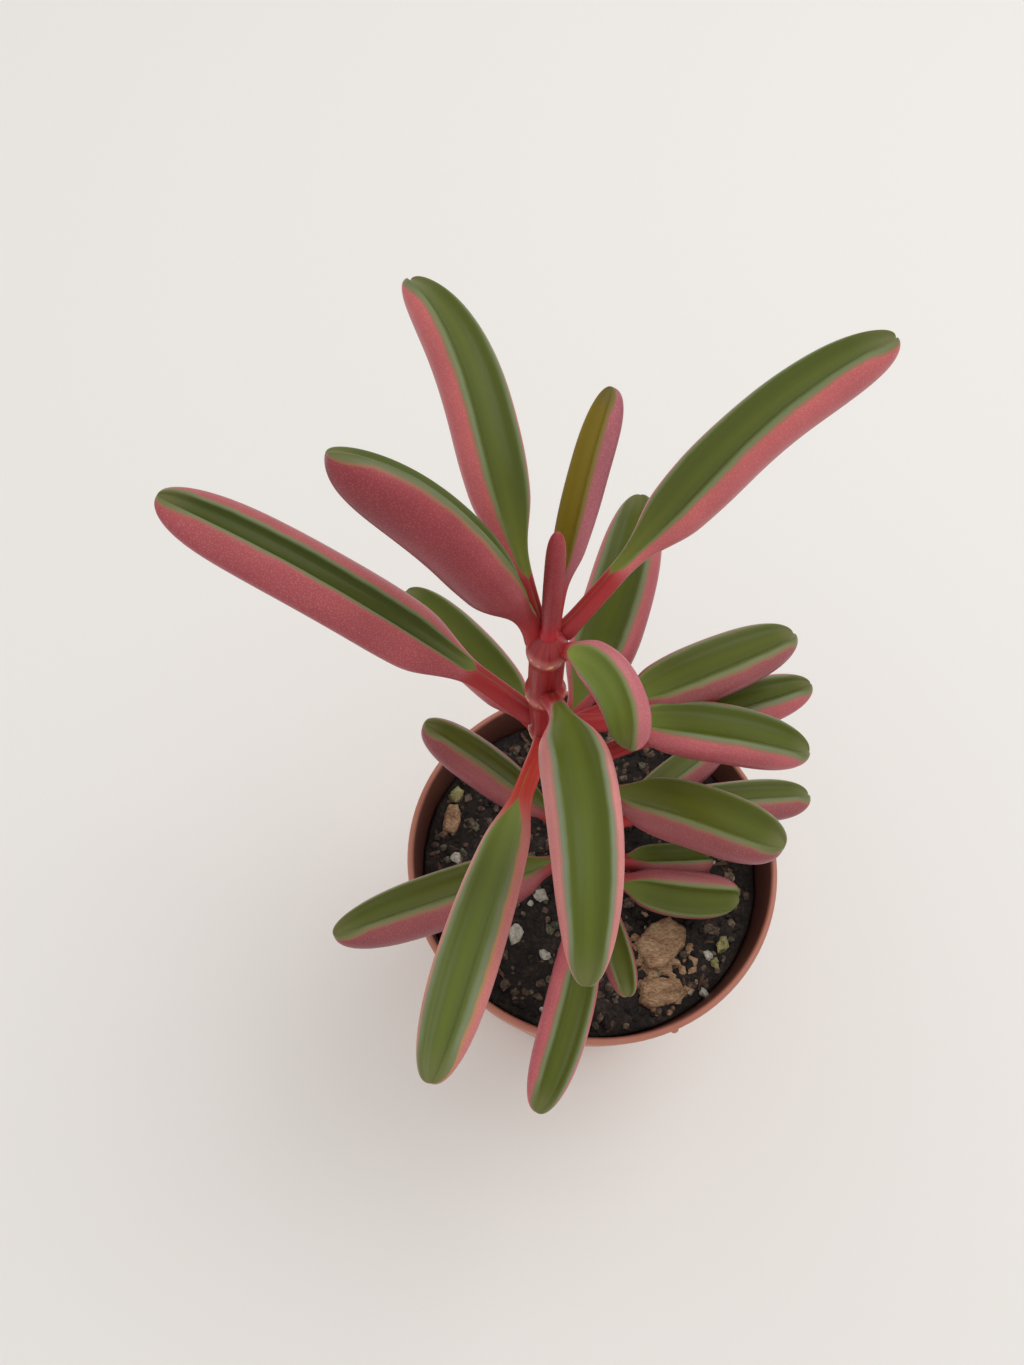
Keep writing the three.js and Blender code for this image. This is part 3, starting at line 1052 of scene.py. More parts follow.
@dataclass(frozen=True)
class LeafForm:
    """Sizes of one leaf in millimetres and degrees, as in the part.

    foot is the height on the stem, heading is measured from +X, rise and tip are
    the slopes at the base and at the end, turn the sideways bend, bow how far the
    heading swings out halfway, and ease above 1 makes the slope change late. roll
    leans the blade and twist adds to that towards the end. petiole is its share of
    the leaf, neck its radius and set how far its base stands from the stem's middle.
    widest is the share of the blade at which it is broadest, swell below 1 broadens
    it early and blunt above 3 squares its end. mouth, groove, crest and deep are
    shares of the half breadth, and notch is how far the tip is drawn in between its
    two lobes. window is the share of the leaf at which its green starts, and spread
    above 1 lets the green broaden sooner.
    """

    node: str
    foot: float
    heading: float
    rise: float
    tip: float
    length: float
    breadth: float
    turn: float = 0.0
    bow: float = 0.0
    ease: float = 1.0
    roll: float = 0.0
    twist: float = 0.0
    petiole: float = 0.22
    neck: float = 1.25
    widest: float = 0.5
    swell: float = 0.7
    blunt: float = 3.0
    mouth: float = 0.62
    groove: float = 0.22
    crest: float = 0.4
    deep: float = 1.1
    set: float = 1.0
    notch: float = 0.12
    window: float = 0.24
    spread: float = 1.0
    kind: LeafKind = LeafKind.GROWN


# Each row gives the node, foot, heading, rise, tip, length and breadth, and then what
# is unlike most leaves
LEAVES = (
    LeafForm(
        "leaf_top_left", 101.5, 151, 70, 28, 35.5, 9.5,
        turn=36, ease=1.3, roll=-40, petiole=0.1, widest=0.42, window=0.12, kind=LeafKind.SHADED_MAROON,
    ),
    LeafForm(
        "leaf_top_back", 102, 122, 42, 0, 45.5, 8.4,
        turn=16, bow=-22, ease=1.4, roll=-30, twist=10, petiole=0.16, widest=0.4, blunt=3.5,
        set=1.4, notch=0.6, window=0.16, spread=2, kind=LeafKind.TOP,
    ),
    LeafForm(
        "leaf_top_young", 103, 81, 62, 49, 28, 4.8,
        turn=-15, roll=28, twist=10, petiole=0.18, neck=1, widest=0.55, blunt=4, set=1.2,
        window=0.2, kind=LeafKind.YOUNG,
    ),
    LeafForm(
        "leaf_top_bud", 104, 90, 80, 76, 15.5, 2.2,
        roll=180, petiole=0.1, neck=0.9, blunt=5, mouth=0.3, set=0, notch=0, window=0.12,
        kind=LeafKind.BUD,
    ),
    LeafForm(
        "leaf_top_right", 102.5, 44, 22, 20, 51.5, 8.4,
        turn=-30, bow=16, ease=1.4, roll=18, petiole=0.2, neck=1.15, widest=0.42, blunt=5, deep=1.15,
        notch=0.5, window=0.2, spread=2.5, kind=LeafKind.TOP,
    ),
    LeafForm(
        "leaf_top_nodding", 101.5, -18, 85, -55, 16.5, 5.8,
        turn=-68, ease=0.5, roll=-35, twist=-20, petiole=0.1, neck=1, blunt=5, notch=0, window=0.16,
        spread=1.8, kind=LeafKind.NODDING,
    ),
    LeafForm(
        "leaf_upper_front", 93, -74, 55, -24, 41, 8,
        turn=-18, petiole=0.16, widest=0.35, blunt=2.4, mouth=0.6, notch=0.2, window=0.16,
        spread=1.8, kind=LeafKind.PALE,
    ),
    LeafForm(
        "leaf_middle_left", 85, 156, 30, 22, 53, 9.8,
        turn=12, roll=-6, petiole=0.16, neck=1.4, widest=0.36, swell=0.55, blunt=5, mouth=0.36, deep=1,
        window=0.22, spread=4, kind=LeafKind.DARK,
    ),
    LeafForm(
        "leaf_middle_front", 84, -106, 26, 10, 47.5, 7,
        turn=5, roll=-15, petiole=0.2, widest=0.6, blunt=2.6, mouth=0.55, notch=0.2, window=0.27,
        kind=LeafKind.FRONT,
    ),
    LeafForm(
        "leaf_middle_far_left", 81, 128, -2, -10, 32, 7.6,
        turn=6, petiole=0.08, mouth=0.74, window=0.1, spread=1.4,
    ),
    LeafForm(
        "leaf_middle_back", 79, 65, 16, 7, 39, 9.8,
        turn=18, roll=12, petiole=0.1, widest=0.4, window=0.12,
    ),
    LeafForm(
        "leaf_middle_back_right", 83, 22, 16, -10, 35, 8.8,
        turn=8, ease=1.2, roll=12, widest=0.45, kind=LeafKind.LOW,
    ),
    LeafForm("leaf_middle_right", 85, 4, 12, -18, 33, 8.6, turn=-12, roll=12),
    LeafForm(
        "leaf_lower_back_right", 75, 24, 10, -1, 36, 8,
        turn=-4, roll=12, petiole=0.26, mouth=0.5, window=0.28,
    ),
    LeafForm(
        "leaf_lower_right", 71, -24, 50, 13, 32, 9,
        turn=-8, roll=15, widest=0.45, blunt=4, mouth=0.7, kind=LeafKind.LOW,
    ),
    LeafForm(
        "leaf_low_right", 62, 19, 2, -12, 35, 7.6,
        turn=-10, roll=24, blunt=5, mouth=0.52, kind=LeafKind.LOW,
    ),
    LeafForm("leaf_low_back_right", 58, 44, 0, -20, 31, 7, roll=30, kind=LeafKind.LOW),
    LeafForm(
        "leaf_low_left", 59, 157, 53, 32, 31.5, 7.5,
        turn=8, roll=-18, mouth=0.45, kind=LeafKind.LOW,
    ),
    LeafForm(
        "leaf_foot_right", 55, -24, 0, -22, 23.5, 7.6,
        turn=40, roll=-45, petiole=0.15, window=0.17, kind=LeafKind.LOW,
    ),
    LeafForm("leaf_foot_front", 55, -73, 23, 2, 20, 4.8, turn=-4, roll=8, notch=0.2, kind=LeafKind.LOW),
    LeafForm(
        "leaf_foot_front_left", 57.5, -88, 29, 3, 38.5, 7,
        turn=-24, roll=28, mouth=0.58,
    ),
    LeafForm(
        "leaf_foot_left", 57, -154, 31, 10, 39, 9.2,
        turn=3, roll=-22, twist=-10, petiole=0.1, widest=0.42, mouth=0.6, window=0.12, kind=LeafKind.LOW,
    ),
    LeafForm("leaf_foot_back_right", 55, 14, -14, -29, 21, 7, roll=30, kind=LeafKind.LOW),
)


@dataclass
class Leaf:
    """One leaf: a round petiole that widens into a thick keeled blade with a groove.

    flare is how much broader the petiole is at its base, as a share, channel the
    depth of the groove along it, and ripple the height of the blade's slow waves,
    which grow over ripple_span of the length. The window's spread works over
    base_reach of the blade. The rows are evenly spaced up to even_rows of them, which
    takes up even_share of the length. The tip's notch starts at notch_from of the
    length and reaches notch_reach half breadths to each side.
    """

    form: LeafForm
    line: StemLine
    rows: int = 44
    around: int = 24
    flare: float = 0.28
    flare_reach: float = 3.0
    channel: float = 0.22
    ripple: float = 0.12
    ripple_size: float = 9.0
    ripple_span: tuple[float, float] = (0.1, 0.4)
    base_reach: float = 0.4
    even_rows: float = 0.7
    even_share: float = 0.8
    notch_from: float = 0.93
    notch_reach: float = 0.42

    def direction(self, share: float) -> tuple[Vector, Vector]:
        """Directions at a place along the leaf.

        Args:
            share: share of the leaf's length.

        Returns:
            The way along the leaf and the level way across it.
        """
        f = self.form
        slope = math.radians(f.rise + (f.tip - f.rise) * share**f.ease)
        swing = 4 * share * (1 - share)
        heading = math.radians(f.heading + f.turn * share + f.bow * swing)
        along = Vector(
            (
                math.cos(slope) * math.cos(heading),
                math.cos(slope) * math.sin(heading),
                math.sin(slope),
            )
        )
        return along, Vector((math.sin(heading), -math.cos(heading), 0))

    def middle(self, share: float) -> Vector:
        """Point of the leaf's own line, which is walked in straight steps.

        Args:
            share: share of the leaf's length.

        Returns:
            The point in millimetres.
        """
        f = self.form
        at = self.line.at_height(f.foot) + polar(f.set, f.heading)
        step = share * f.length / WALK_STEPS
        for k in range(WALK_STEPS):
            at = at + self.direction(share * (k + 0.5) / WALK_STEPS)[0] * step
        return at

    def half_breadth(self, share: float) -> float:
        """Half the leaf's breadth.

        Args:
            share: share of the leaf's length.

        Returns:
            The half breadth in millimetres.
        """
        f = self.form
        if share <= f.petiole:
            return f.neck
        blade = (share - f.petiole) / (1 - f.petiole)
        full = f.breadth / 2
        if blade < f.widest:
            swell = math.sin(math.pi / 2 * blade / f.widest) ** f.swell
            return f.neck + (full - f.neck) * swell
        end = (blade - f.widest) / (1 - f.widest)
        return full * (1 - end**f.blunt) ** TIP_ROOT

    def section(self, share: float) -> list[tuple[float, float]]:
        """The twelve points round one section.

        Args:
            share: share of the leaf's length.

        Returns:
            Points across and above the leaf's line, from the groove by the right
            side to the keel and back by the left side.
        """
        f = self.form
        half = self.half_breadth(share)
        blade = (share - f.petiole) / (1 - f.petiole)
        blend = smooth(0, BLEND_SHARE, blade)
        foot = 1 + self.flare * (1 - smooth(0, self.flare_reach / f.length, share))
        stalk = f.neck * foot if share <= f.petiole else f.neck
        shape = (
            (0.0, f.crest - f.groove),
            (GROOVE_WALL[0] * f.mouth, f.crest - GROOVE_WALL[1] * f.groove),
            (f.mouth, f.crest),
            (1.0, 0.0),
            (FLANK[0], -FLANK[1] * f.deep),
            (UNDERSIDE[0], -UNDERSIDE[1] * f.deep),
            (0.0, -f.deep),
        )
        right = []
        for k, (x, y) in enumerate(shape):
            angle = math.radians(PETIOLE_ANGLES[k])
            reach = stalk - (self.channel if k == 0 else 0)
            round_x, round_y = reach * math.cos(angle), reach * math.sin(angle)
            right.append(
                (
                    round_x + (x * half - round_x) * blend,
                    round_y + (y * half - round_y) * blend,
                )
            )
        return right + [(-x, y) for x, y in reversed(right[1:-1])]

    def share_of(self, row: float) -> float:
        """Spaces the rows more closely towards the tip.

        Args:
            row: share of the rows.

        Returns:
            Share of the leaf's length.
        """
        if row < self.even_rows:
            return row * self.even_share / self.even_rows
        rest = (row - self.even_rows) / (1 - self.even_rows)
        return self.even_share + (1 - self.even_share) * math.sin(math.pi / 2 * rest)

    def chart(self, row: float) -> float:
        """Lengthwise place on the UV map, where every window starts at the same share.

        Args:
            row: share of the rows.

        Returns:
            The place from 0 to 1.
        """
        share, start = self.share_of(row), self.form.window
        if share < start:
            return PETIOLE_CHART * share / start
        blade = (share - start) / (1 - start)
        if blade < self.base_reach:
            blade = self.base_reach * (blade / self.base_reach) ** (1 / self.form.spread)
        return PETIOLE_CHART + (1 - PETIOLE_CHART) * blade

    def place(self, row: float, turn: float) -> Vector:
        """Point of the skin.

        Args:
            row: share of the rows.
            turn: share of a turn, from the keel by the left side.

        Returns:
            The point in millimetres.
        """
        f = self.form
        share = self.share_of(row)
        along, side = self.direction(share)
        middle = self.middle(share)
        if row <= 0:
            return middle
        if row >= 1:
            return middle - along * f.notch
        ring = self.section(share)
        count = len(ring)
        step = ((turn * count + count / 2) % count + HAIR) % count
        whole = int(step)
        t = step - whole
        # a Catmull-Rom curve through the four points nearest to the place
        a, b, c, d = (Vector(ring[(whole + k) % count]) for k in (-1, 0, 1, 2))
        x, y = 0.5 * (
            2 * b + (c - a) * t + (2 * a - 5 * b + 4 * c - d) * t**2 + (3 * b - a - 3 * c + d) * t**3
        )
        lean = math.radians(f.roll + f.twist * share)
        up = side.cross(along)
        across = side * math.cos(lean) + up * math.sin(lean)
        above = up * math.cos(lean) - side * math.sin(lean)
        reach = self.notch_reach * f.breadth / 2
        drawn = f.notch * smooth(self.notch_from, 1, share) * max(0.0, 1 - abs(x) / reach) ** 2
        point = middle + across * x + above * y - along * drawn
        wave = noise.noise(point / self.ripple_size) * self.ripple
        wave *= smooth(*self.ripple_span, share)
        return point + above * wave

    def build(self, finishes: dict[LeafKind, bpy.types.Material]) -> None:
        """Makes the leaf and dresses it.

        Args:
            finishes: the material of each kind of leaf.
        """
        name = "skin_of_" + self.form.node
        skin = rolled_skin(name, self.rows, self.around, self.place, self.chart)
        settle(skin, finishes[self.form.kind], "leaf", self.form.node)


# Pot


@dataclass
class Pot:
    """The small round nursery pot with its band and rolled rim.

    edge is the rounding of its corners, foot_ring the breadth of the ring it
    stands on, and crease the angle in degrees past which an edge stays sharp.
    """

    sides: int = 120
    edge: float = 0.3
    rim_steps: int = 8
    foot_recess: float = 0.5
    foot_ring: float = 3.0
    drill_sides: int = 32
    drill_length: float = 4 * POT_FLOOR
    nub_sides: int = 20
    nub_rings: int = 12
    crease: float = 40.0

    def outer(self, z: float) -> float:
        """Outer radius of the tapering wall below the band, at a height."""
        top = POT_RIM_RADIUS - POT_RIM_TAPER - POT_RIM_STEP
        return POT_FOOT_RADIUS + (top - POT_FOOT_RADIUS) * z / (POT_HEIGHT - POT_RIM_DEPTH)

    def inner(self, z: float) -> float:
        """Inner radius at a height.

        Args:
            z: height above the underside in millimetres.

        Returns:
            The radius in millimetres.
        """
        below = POT_HEIGHT - POT_RIM_DEPTH
        if z <= below:
            return self.outer(z) - POT_WALL
        share = (z - below) / POT_RIM_DEPTH
        return POT_RIM_RADIUS - POT_RIM_TAPER * (1 - share) - POT_WALL

    def outline(self) -> list[tuple[float, float]]:
        """Radius and height of each ring, from the underside round the rim to the floor.

        Returns:
            The rings in millimetres.
        """
        below = POT_HEIGHT - POT_RIM_DEPTH
        band = POT_RIM_RADIUS - POT_RIM_TAPER
        e = self.edge
        roll = POT_WALL / 2
        ring = POT_FOOT_RADIUS - self.foot_ring
        rim = [
            (POT_RIM_RADIUS - roll + roll * math.cos(a), POT_HEIGHT - roll + roll * math.sin(a))
            for a in (math.pi * k / self.rim_steps for k in range(self.rim_steps + 1))
        ]
        return [
            (0, self.foot_recess),
            (ring - e, self.foot_recess),
            (ring, self.foot_recess - e),
            (ring + e, 0),
            (POT_FOOT_RADIUS - 2 * e, 0),
            (POT_FOOT_RADIUS - 0.5 * e, 0.5 * e),
            (POT_FOOT_RADIUS, 2 * e),
            (self.outer(below / 2), below / 2),
            (self.outer(below - e), below - e),
            (self.outer(below) + 0.3 * e, below),
            (band - e, below),
            (band - 0.2 * e, below + 0.2 * e),
            (band, below + e),
            *rim,
            (self.inner(below + 2 * POT_WALL), below + 2 * POT_WALL),
            (self.inner(below), below + POT_WALL),
            (self.inner(POT_FLOOR), POT_FLOOR),
            (0, POT_FLOOR),
        ]

    def build(self) -> None:
        """Turns the pot, drills its drain holes, adds the gate mark and dresses it."""
        pot = ring_stack("nursery_pot", self.sides, self.outline())
        for k in range(DRAIN_COUNT):
            at = polar(DRAIN_OFFSET * MM, 360 * (k + 0.5) / DRAIN_COUNT, POT_FLOOR * MM / 2)
            deselect_all()
            bpy.ops.mesh.primitive_cylinder_add(
                vertices=self.drill_sides,
                radius=DRAIN_RADIUS * MM,
                depth=self.drill_length * MM,
                location=at,
            )
            drill = bpy.context.active_object
            apply_modifier(pot, "BOOLEAN", object=drill, operation="DIFFERENCE", solver="EXACT")
            bpy.data.objects.remove(drill)
        deselect_all()
        reach = POT_RIM_RADIUS - NUB_SINK
        bpy.ops.mesh.primitive_uv_sphere_add(
            segments=self.nub_sides,
            ring_count=self.nub_rings,
            radius=NUB_RADIUS * MM,
            location=polar(reach * MM, NUB_ANGLE, (POT_HEIGHT - NUB_DROP) * MM),
        )
        nub = bpy.context.active_object
        bpy.ops.object.transform_apply(location=True, rotation=False, scale=False)
        apply_modifier(pot, "BOOLEAN", object=nub, operation="UNION", solver="EXACT")
        bpy.data.objects.remove(nub)
        pick(pot)
        bpy.ops.object.shade_smooth_by_angle(angle=math.radians(self.crease))
        settle(pot, PotFinish().make(), "pot", "pot")


# Soil


# The larger grains of perlite and grit: their places on the top and their half lengths
PERLITE_STONES = (
    (-21.1, 0.0, 1.0),
    (-7.7, -5.4, 1.2),
    (-11.3, -11.9, 1.5),
    (-6.6, -14.7, 1.0),
    (18.3, -13.5, 0.8),
    (17.5, -19.1, 0.8),
    (15.3, -18.9, 0.6),
)
GRIT_STONES = ((-22.1, 10.7, 1.4), (20.6, -11.6, 1.3), (19.4, -14.6, 0.9), (14.0, 17.0, 1.0))

# Shapes of the grains: length, breadth and thickness as shares of the length
PERLITE_SHAPE = (1, 0.8, 0.8)
FINE_PERLITE_SHAPE = (1, 0.85, 0.8)
GRIT_SHAPE = (1, 0.75, 0.7)
DUST_SHAPE = (1, 0.75, 0.4)


def shaped(size: float, shape: Triple) -> Triple:
    """Half sizes of a grain of that size and shape."""
    return (size * shape[0], size * shape[1], size * shape[2])


@dataclass
class Soil:
    """Peat with crumbs, fibres, grit and perlite on its top.

    A pair of sizes gives the smallest and the largest, as half lengths or half
    breadths in millimetres. The top's relief is made of broad swells and of a fine
    part. lump_pitch is how closely a lump's bumps lie. The higher crumb_bias is, the
    more of the crumbs are small. bed is how far a grain's middle stands above the
    soil, as a share of its half thickness, and lean how far it leans at most, in
    radians. stem_at is where the stem comes out, and stem_room round it and
    edge_room along the wall are kept free of grains.
    """

    pot: Pot
    sides: int = 112
    rings: int = 46
    relief: float = 1.1
    swell_size: float = 5.0
    swell_share: float = 0.8
    swell_falloff: float = 0.8
    octaves: int = 4
    octave_step: float = 2.0
    fine_size: float = 1.1
    fine_share: float = 0.28
    lumps: int = 4
    lump_detail: int = 2
    lump_roughness: float = 0.55
    coarse_detail: int = 1
    coarse_roughness: float = 0.5
    lump_pitch: float = 1.3
    bed: float = 0.25
    lean: float = 0.5
    crumbs: int = 1100
    mossy: int = 130
    crumb_sizes: tuple[float, float] = (0.3, 1.05)
    crumb_bias: float = 2.2
    crumb_slimmest: float = 0.6
    crumb_thickness: float = 0.7
    fibres: int = 90
    fibre_lengths: tuple[float, float] = (0.7, 1.9)
    fibre_breadths: tuple[float, float] = (0.22, 0.42)
    fibre_thickness: float = 0.2
    dust: int = 90
    dust_at: tuple[float, float] = (10.5, -15.5)
    dust_spread: tuple[float, float] = (2.6, 3.4)
    dust_sizes: tuple[float, float] = (0.35, 1.1)
    fine_perlite: int = 16
    fine_perlite_sizes: tuple[float, float] = (0.3, 0.65)
    edge_room: float = 1.2
    stem_at: tuple[float, float] = (0.0, -6.8)
    stem_room: float = 3.2
    seed: int = 17
    level: float = SOIL_LEVEL

    def height(self, x: float, y: float) -> float:
        """Height of the soil's top.

        Args:
            x: place in millimetres.
            y: place in millimetres.

        Returns:
            The height in millimetres.
        """
        at = Vector((x, y, 0))
        swell = noise.fractal(
            at / self.swell_size, self.swell_falloff, self.octave_step, self.octaves
        )
        fine = noise.noise(at / self.fine_size)
        return self.level + self.relief * (self.swell_share * swell + self.fine_share * fine)

    def body(self) -> bpy.types.Object:
        """The body of the soil: rings up the wall, then inwards over the rough top.

        Returns:
            The mesh object.
        """
        below = POT_HEIGHT - POT_RIM_DEPTH
        edge = self.pot.inner(self.level) - SOIL_GAP
        outline = [
            (0, POT_FLOOR),
            (self.pot.inner(POT_FLOOR) - SOIL_GAP, POT_FLOOR),
            (self.pot.inner(below) - SOIL_GAP, below),
            (self.pot.inner(below) - SOIL_GAP, below + POT_WALL),
            (self.pot.inner(below + 2 * POT_WALL) - SOIL_GAP, below + 2 * POT_WALL + SOIL_GAP),
        ]
        outline += [(edge * (1 - k / self.rings), self.level) for k in range(self.rings)]
        outline.append((0, self.level))
        soil = ring_stack("soil_body", self.sides, outline)
        for vertex in soil.data.vertices:
            # the top's rings alone lie at the soil's level
            if vertex.co.z > (self.level - WELD) * MM:
                x, y = vertex.co.x / MM, vertex.co.y / MM
                vertex.co.z = self.height(x, y) * MM
        pick(soil)
        bpy.ops.object.shade_smooth()
        return soil

    def lump(self, name: str, detail: int, roughness: float, seed: float) -> bpy.types.Object:
        """A rough lump of one millimetre radius, to be copied.

        Args:
            name: its name.
            detail: how often the ball is subdivided.
            roughness: how far its points stand off the ball, as a share.
            seed: where in the noise it lies.

        Returns:
            The mesh object.
        """
        deselect_all()
        bpy.ops.mesh.primitive_ico_sphere_add(subdivisions=detail, radius=MM)
        made = bpy.context.active_object
        made.name = name
        away = Vector((seed, 0, 0))
        for vertex in made.data.vertices:
            at = vertex.co / MM
            vertex.co *= 1 + roughness * noise.noise(at * self.lump_pitch + away)
        return made

    def strew(
        self, name: str, sources: Sequence[bpy.types.Object], places: Sequence[Matrix]
    ) -> bpy.types.Object:
        """Copies lumps to their places and joins them.

        Args:
            name: the joined piece's name.
            sources: the lumps to copy in turn.
            places: where each copy goes, in metres.

        Returns:
            The joined mesh object.
        """
        made = []
        for k, place in enumerate(places):
            source = sources[k % len(sources)]
            copy = source.copy()
            copy.data = source.data.copy()
            copy.data.transform(place)
            bpy.context.scene.collection.objects.link(copy)
            made.append(copy)
        deselect_all()
        for copy in made:
            copy.select_set(True)
        bpy.context.view_layer.objects.active = made[0]
        bpy.ops.object.join()
        joined = bpy.context.active_object
        joined.name = name
        return joined

    def spot(self, rng: random.Random, x: float, y: float, sizes: Triple) -> Matrix:
        """Turns a lump at random and beds it in the soil.

        Args:
            rng: the seeded source of chance.
            x: place in millimetres.
            y: place in millimetres.
            sizes: half sizes in millimetres.

        Returns:
            The lump's place in metres.
        """
        z = self.height(x, y) + self.bed * sizes[2]
        spin = Matrix.Rotation(rng.uniform(0, 2 * math.pi), 4, "Z")
        tip = Matrix.Rotation(rng.uniform(-self.lean, self.lean), 4, "X")
        return Matrix.Translation(Vector((x, y, z)) * MM) @ spin @ tip @ Matrix.Diagonal((*sizes, 1))

    def free_spot(self, rng: random.Random, reach: float) -> tuple[float, float]:
        """A random place on the top, clear of the stem.

        Args:
            rng: the seeded source of chance.
            reach: largest distance from the middle in millimetres.

        Returns:
            The place in millimetres.
        """
        while True:
            at = polar(reach * math.sqrt(rng.random()), rng.uniform(0, 360))
            if (at.xy - Vector(self.stem_at)).length > self.stem_room:
                return at.x, at.y

    def crumb_places(self, rng: random.Random, reach: float) -> list[Matrix]:
        """Strews the crumbs of peat, most of them small.

        Args:
            rng: the seeded source of chance.
            reach: largest distance from the middle in millimetres.

        Returns:
            Their places in metres.
        """
        smallest, largest = self.crumb_sizes
        places = []
        for _ in range(self.crumbs):
            x, y = self.free_spot(rng, reach)
            size = smallest + (largest - smallest) * rng.random() ** self.crumb_bias
            shape = (1, rng.uniform(self.crumb_slimmest, 1), self.crumb_thickness)
            places.append(self.spot(rng, x, y, shaped(size, shape)))
        return places

    def fibre_places(self, rng: random.Random, reach: float) -> list[Matrix]:
        """Strews the fibres of peat.

        Args:
            rng: the seeded source of chance.
            reach: largest distance from the middle in millimetres.

        Returns:
            Their places in metres.
        """
        places = []
        for _ in range(self.fibres):
            x, y = self.free_spot(rng, reach)
            length, breadth = rng.uniform(*self.fibre_lengths), rng.uniform(*self.fibre_breadths)
            places.append(self.spot(rng, x, y, (length, breadth, self.fibre_thickness)))
        return places

    def dust_places(self, rng: random.Random) -> list[Matrix]:
        """Strews the bark dust round the two chips at the front.

        Args:
            rng: the seeded source of chance.

        Returns:
            Its places in metres.
        """
        places = []
        for _ in range(self.dust):
            x = rng.gauss(self.dust_at[0], self.dust_spread[0])
            y = rng.gauss(self.dust_at[1], self.dust_spread[1])
            size = rng.uniform(*self.dust_sizes)
            places.append(self.spot(rng, x, y, shaped(size, DUST_SHAPE)))
        return places

    def perlite_places(self, rng: random.Random, reach: float) -> list[Matrix]:
        """Lays the larger grains of perlite and strews the fine ones.

        Args:
            rng: the seeded source of chance.
            reach: largest distance from the middle in millimetres.

        Returns:
            Their places in metres.
        """
        places = [self.spot(rng, x, y, shaped(s, PERLITE_SHAPE)) for x, y, s in PERLITE_STONES]
        for _ in range(self.fine_perlite):
            x, y = self.free_spot(rng, reach)
            size = rng.uniform(*self.fine_perlite_sizes)
            places.append(self.spot(rng, x, y, shaped(size, FINE_PERLITE_SHAPE)))
        return places

    def build(self) -> None:
        """Makes the soil and all that lies on it, and dresses them."""
        settle(self.body(), PEAT.make(), "soil", "soil")
        rng = random.Random(self.seed)
        reach = self.pot.inner(self.level) - self.edge_room
        balls = [
            self.lump(f"lump_{k}", self.lump_detail, self.lump_roughness, 7.0 * k)
            for k in range(self.lumps)
        ]
        coarse = [
            self.lump(f"coarse_lump_{k}", self.coarse_detail, self.coarse_roughness, 3.0 * k)
            for k in range(self.lumps)
        ]
        crumbs = self.crumb_places(rng, reach)
        half = self.crumbs // 2
        fibres = self.fibre_places(rng, reach)
        dust = self.dust_places(rng)
        perlite = self.perlite_places(rng, reach)
        grit = [self.spot(rng, x, y, shaped(s, GRIT_SHAPE)) for x, y, s in GRIT_STONES]
        pieces = (
            ("soil_crumbs", coarse, crumbs[:half], PEAT),
            ("brown_crumbs", coarse, crumbs[half : -self.mossy], CRUMB),
            ("mossy_crumbs", coarse, crumbs[-self.mossy :], MOSSY),
            ("soil_fibres", coarse, fibres, FIBRE),
            ("bark_dust", coarse, dust, BARK),
            ("perlite_grains", balls, perlite, PERLITE),
            ("grit_grains", balls, grit, GRIT),
        )
        for name, sources, places, look in pieces:
            settle(self.strew(name, sources, places), look.make(), "soil")
        for source in balls + coarse:
            bpy.data.objects.remove(source)


# Bark chips


@dataclass(frozen=True)
class ChipForm:
    """Place and size of a bark chip in millimetres and degrees, as in the part."""

    node: str
    x: float
    y: float
    length: float
    breadth: float
    thickness: float
    heading: float
    tilt: float


CHIPS = (
    ChipForm("bark_chip_front", 11, -19.4, 7, 4.2, 1.6, 8, 5),
    ChipForm("bark_chip_right", 11.2, -12, 8.5, 6, 1.8, 40, -5),
    ChipForm("bark_chip_left", -22.4, 6.5, 5, 2.6, 1.4, 80, 5),
)
CHIP_OUTLINE = (
    (-0.5, -0.3),
    (-0.3, -0.5),
    (0.25, -0.44),
    (0.5, -0.15),
    (0.42, 0.36),
    (0.05, 0.5),
    (-0.42, 0.38),
)


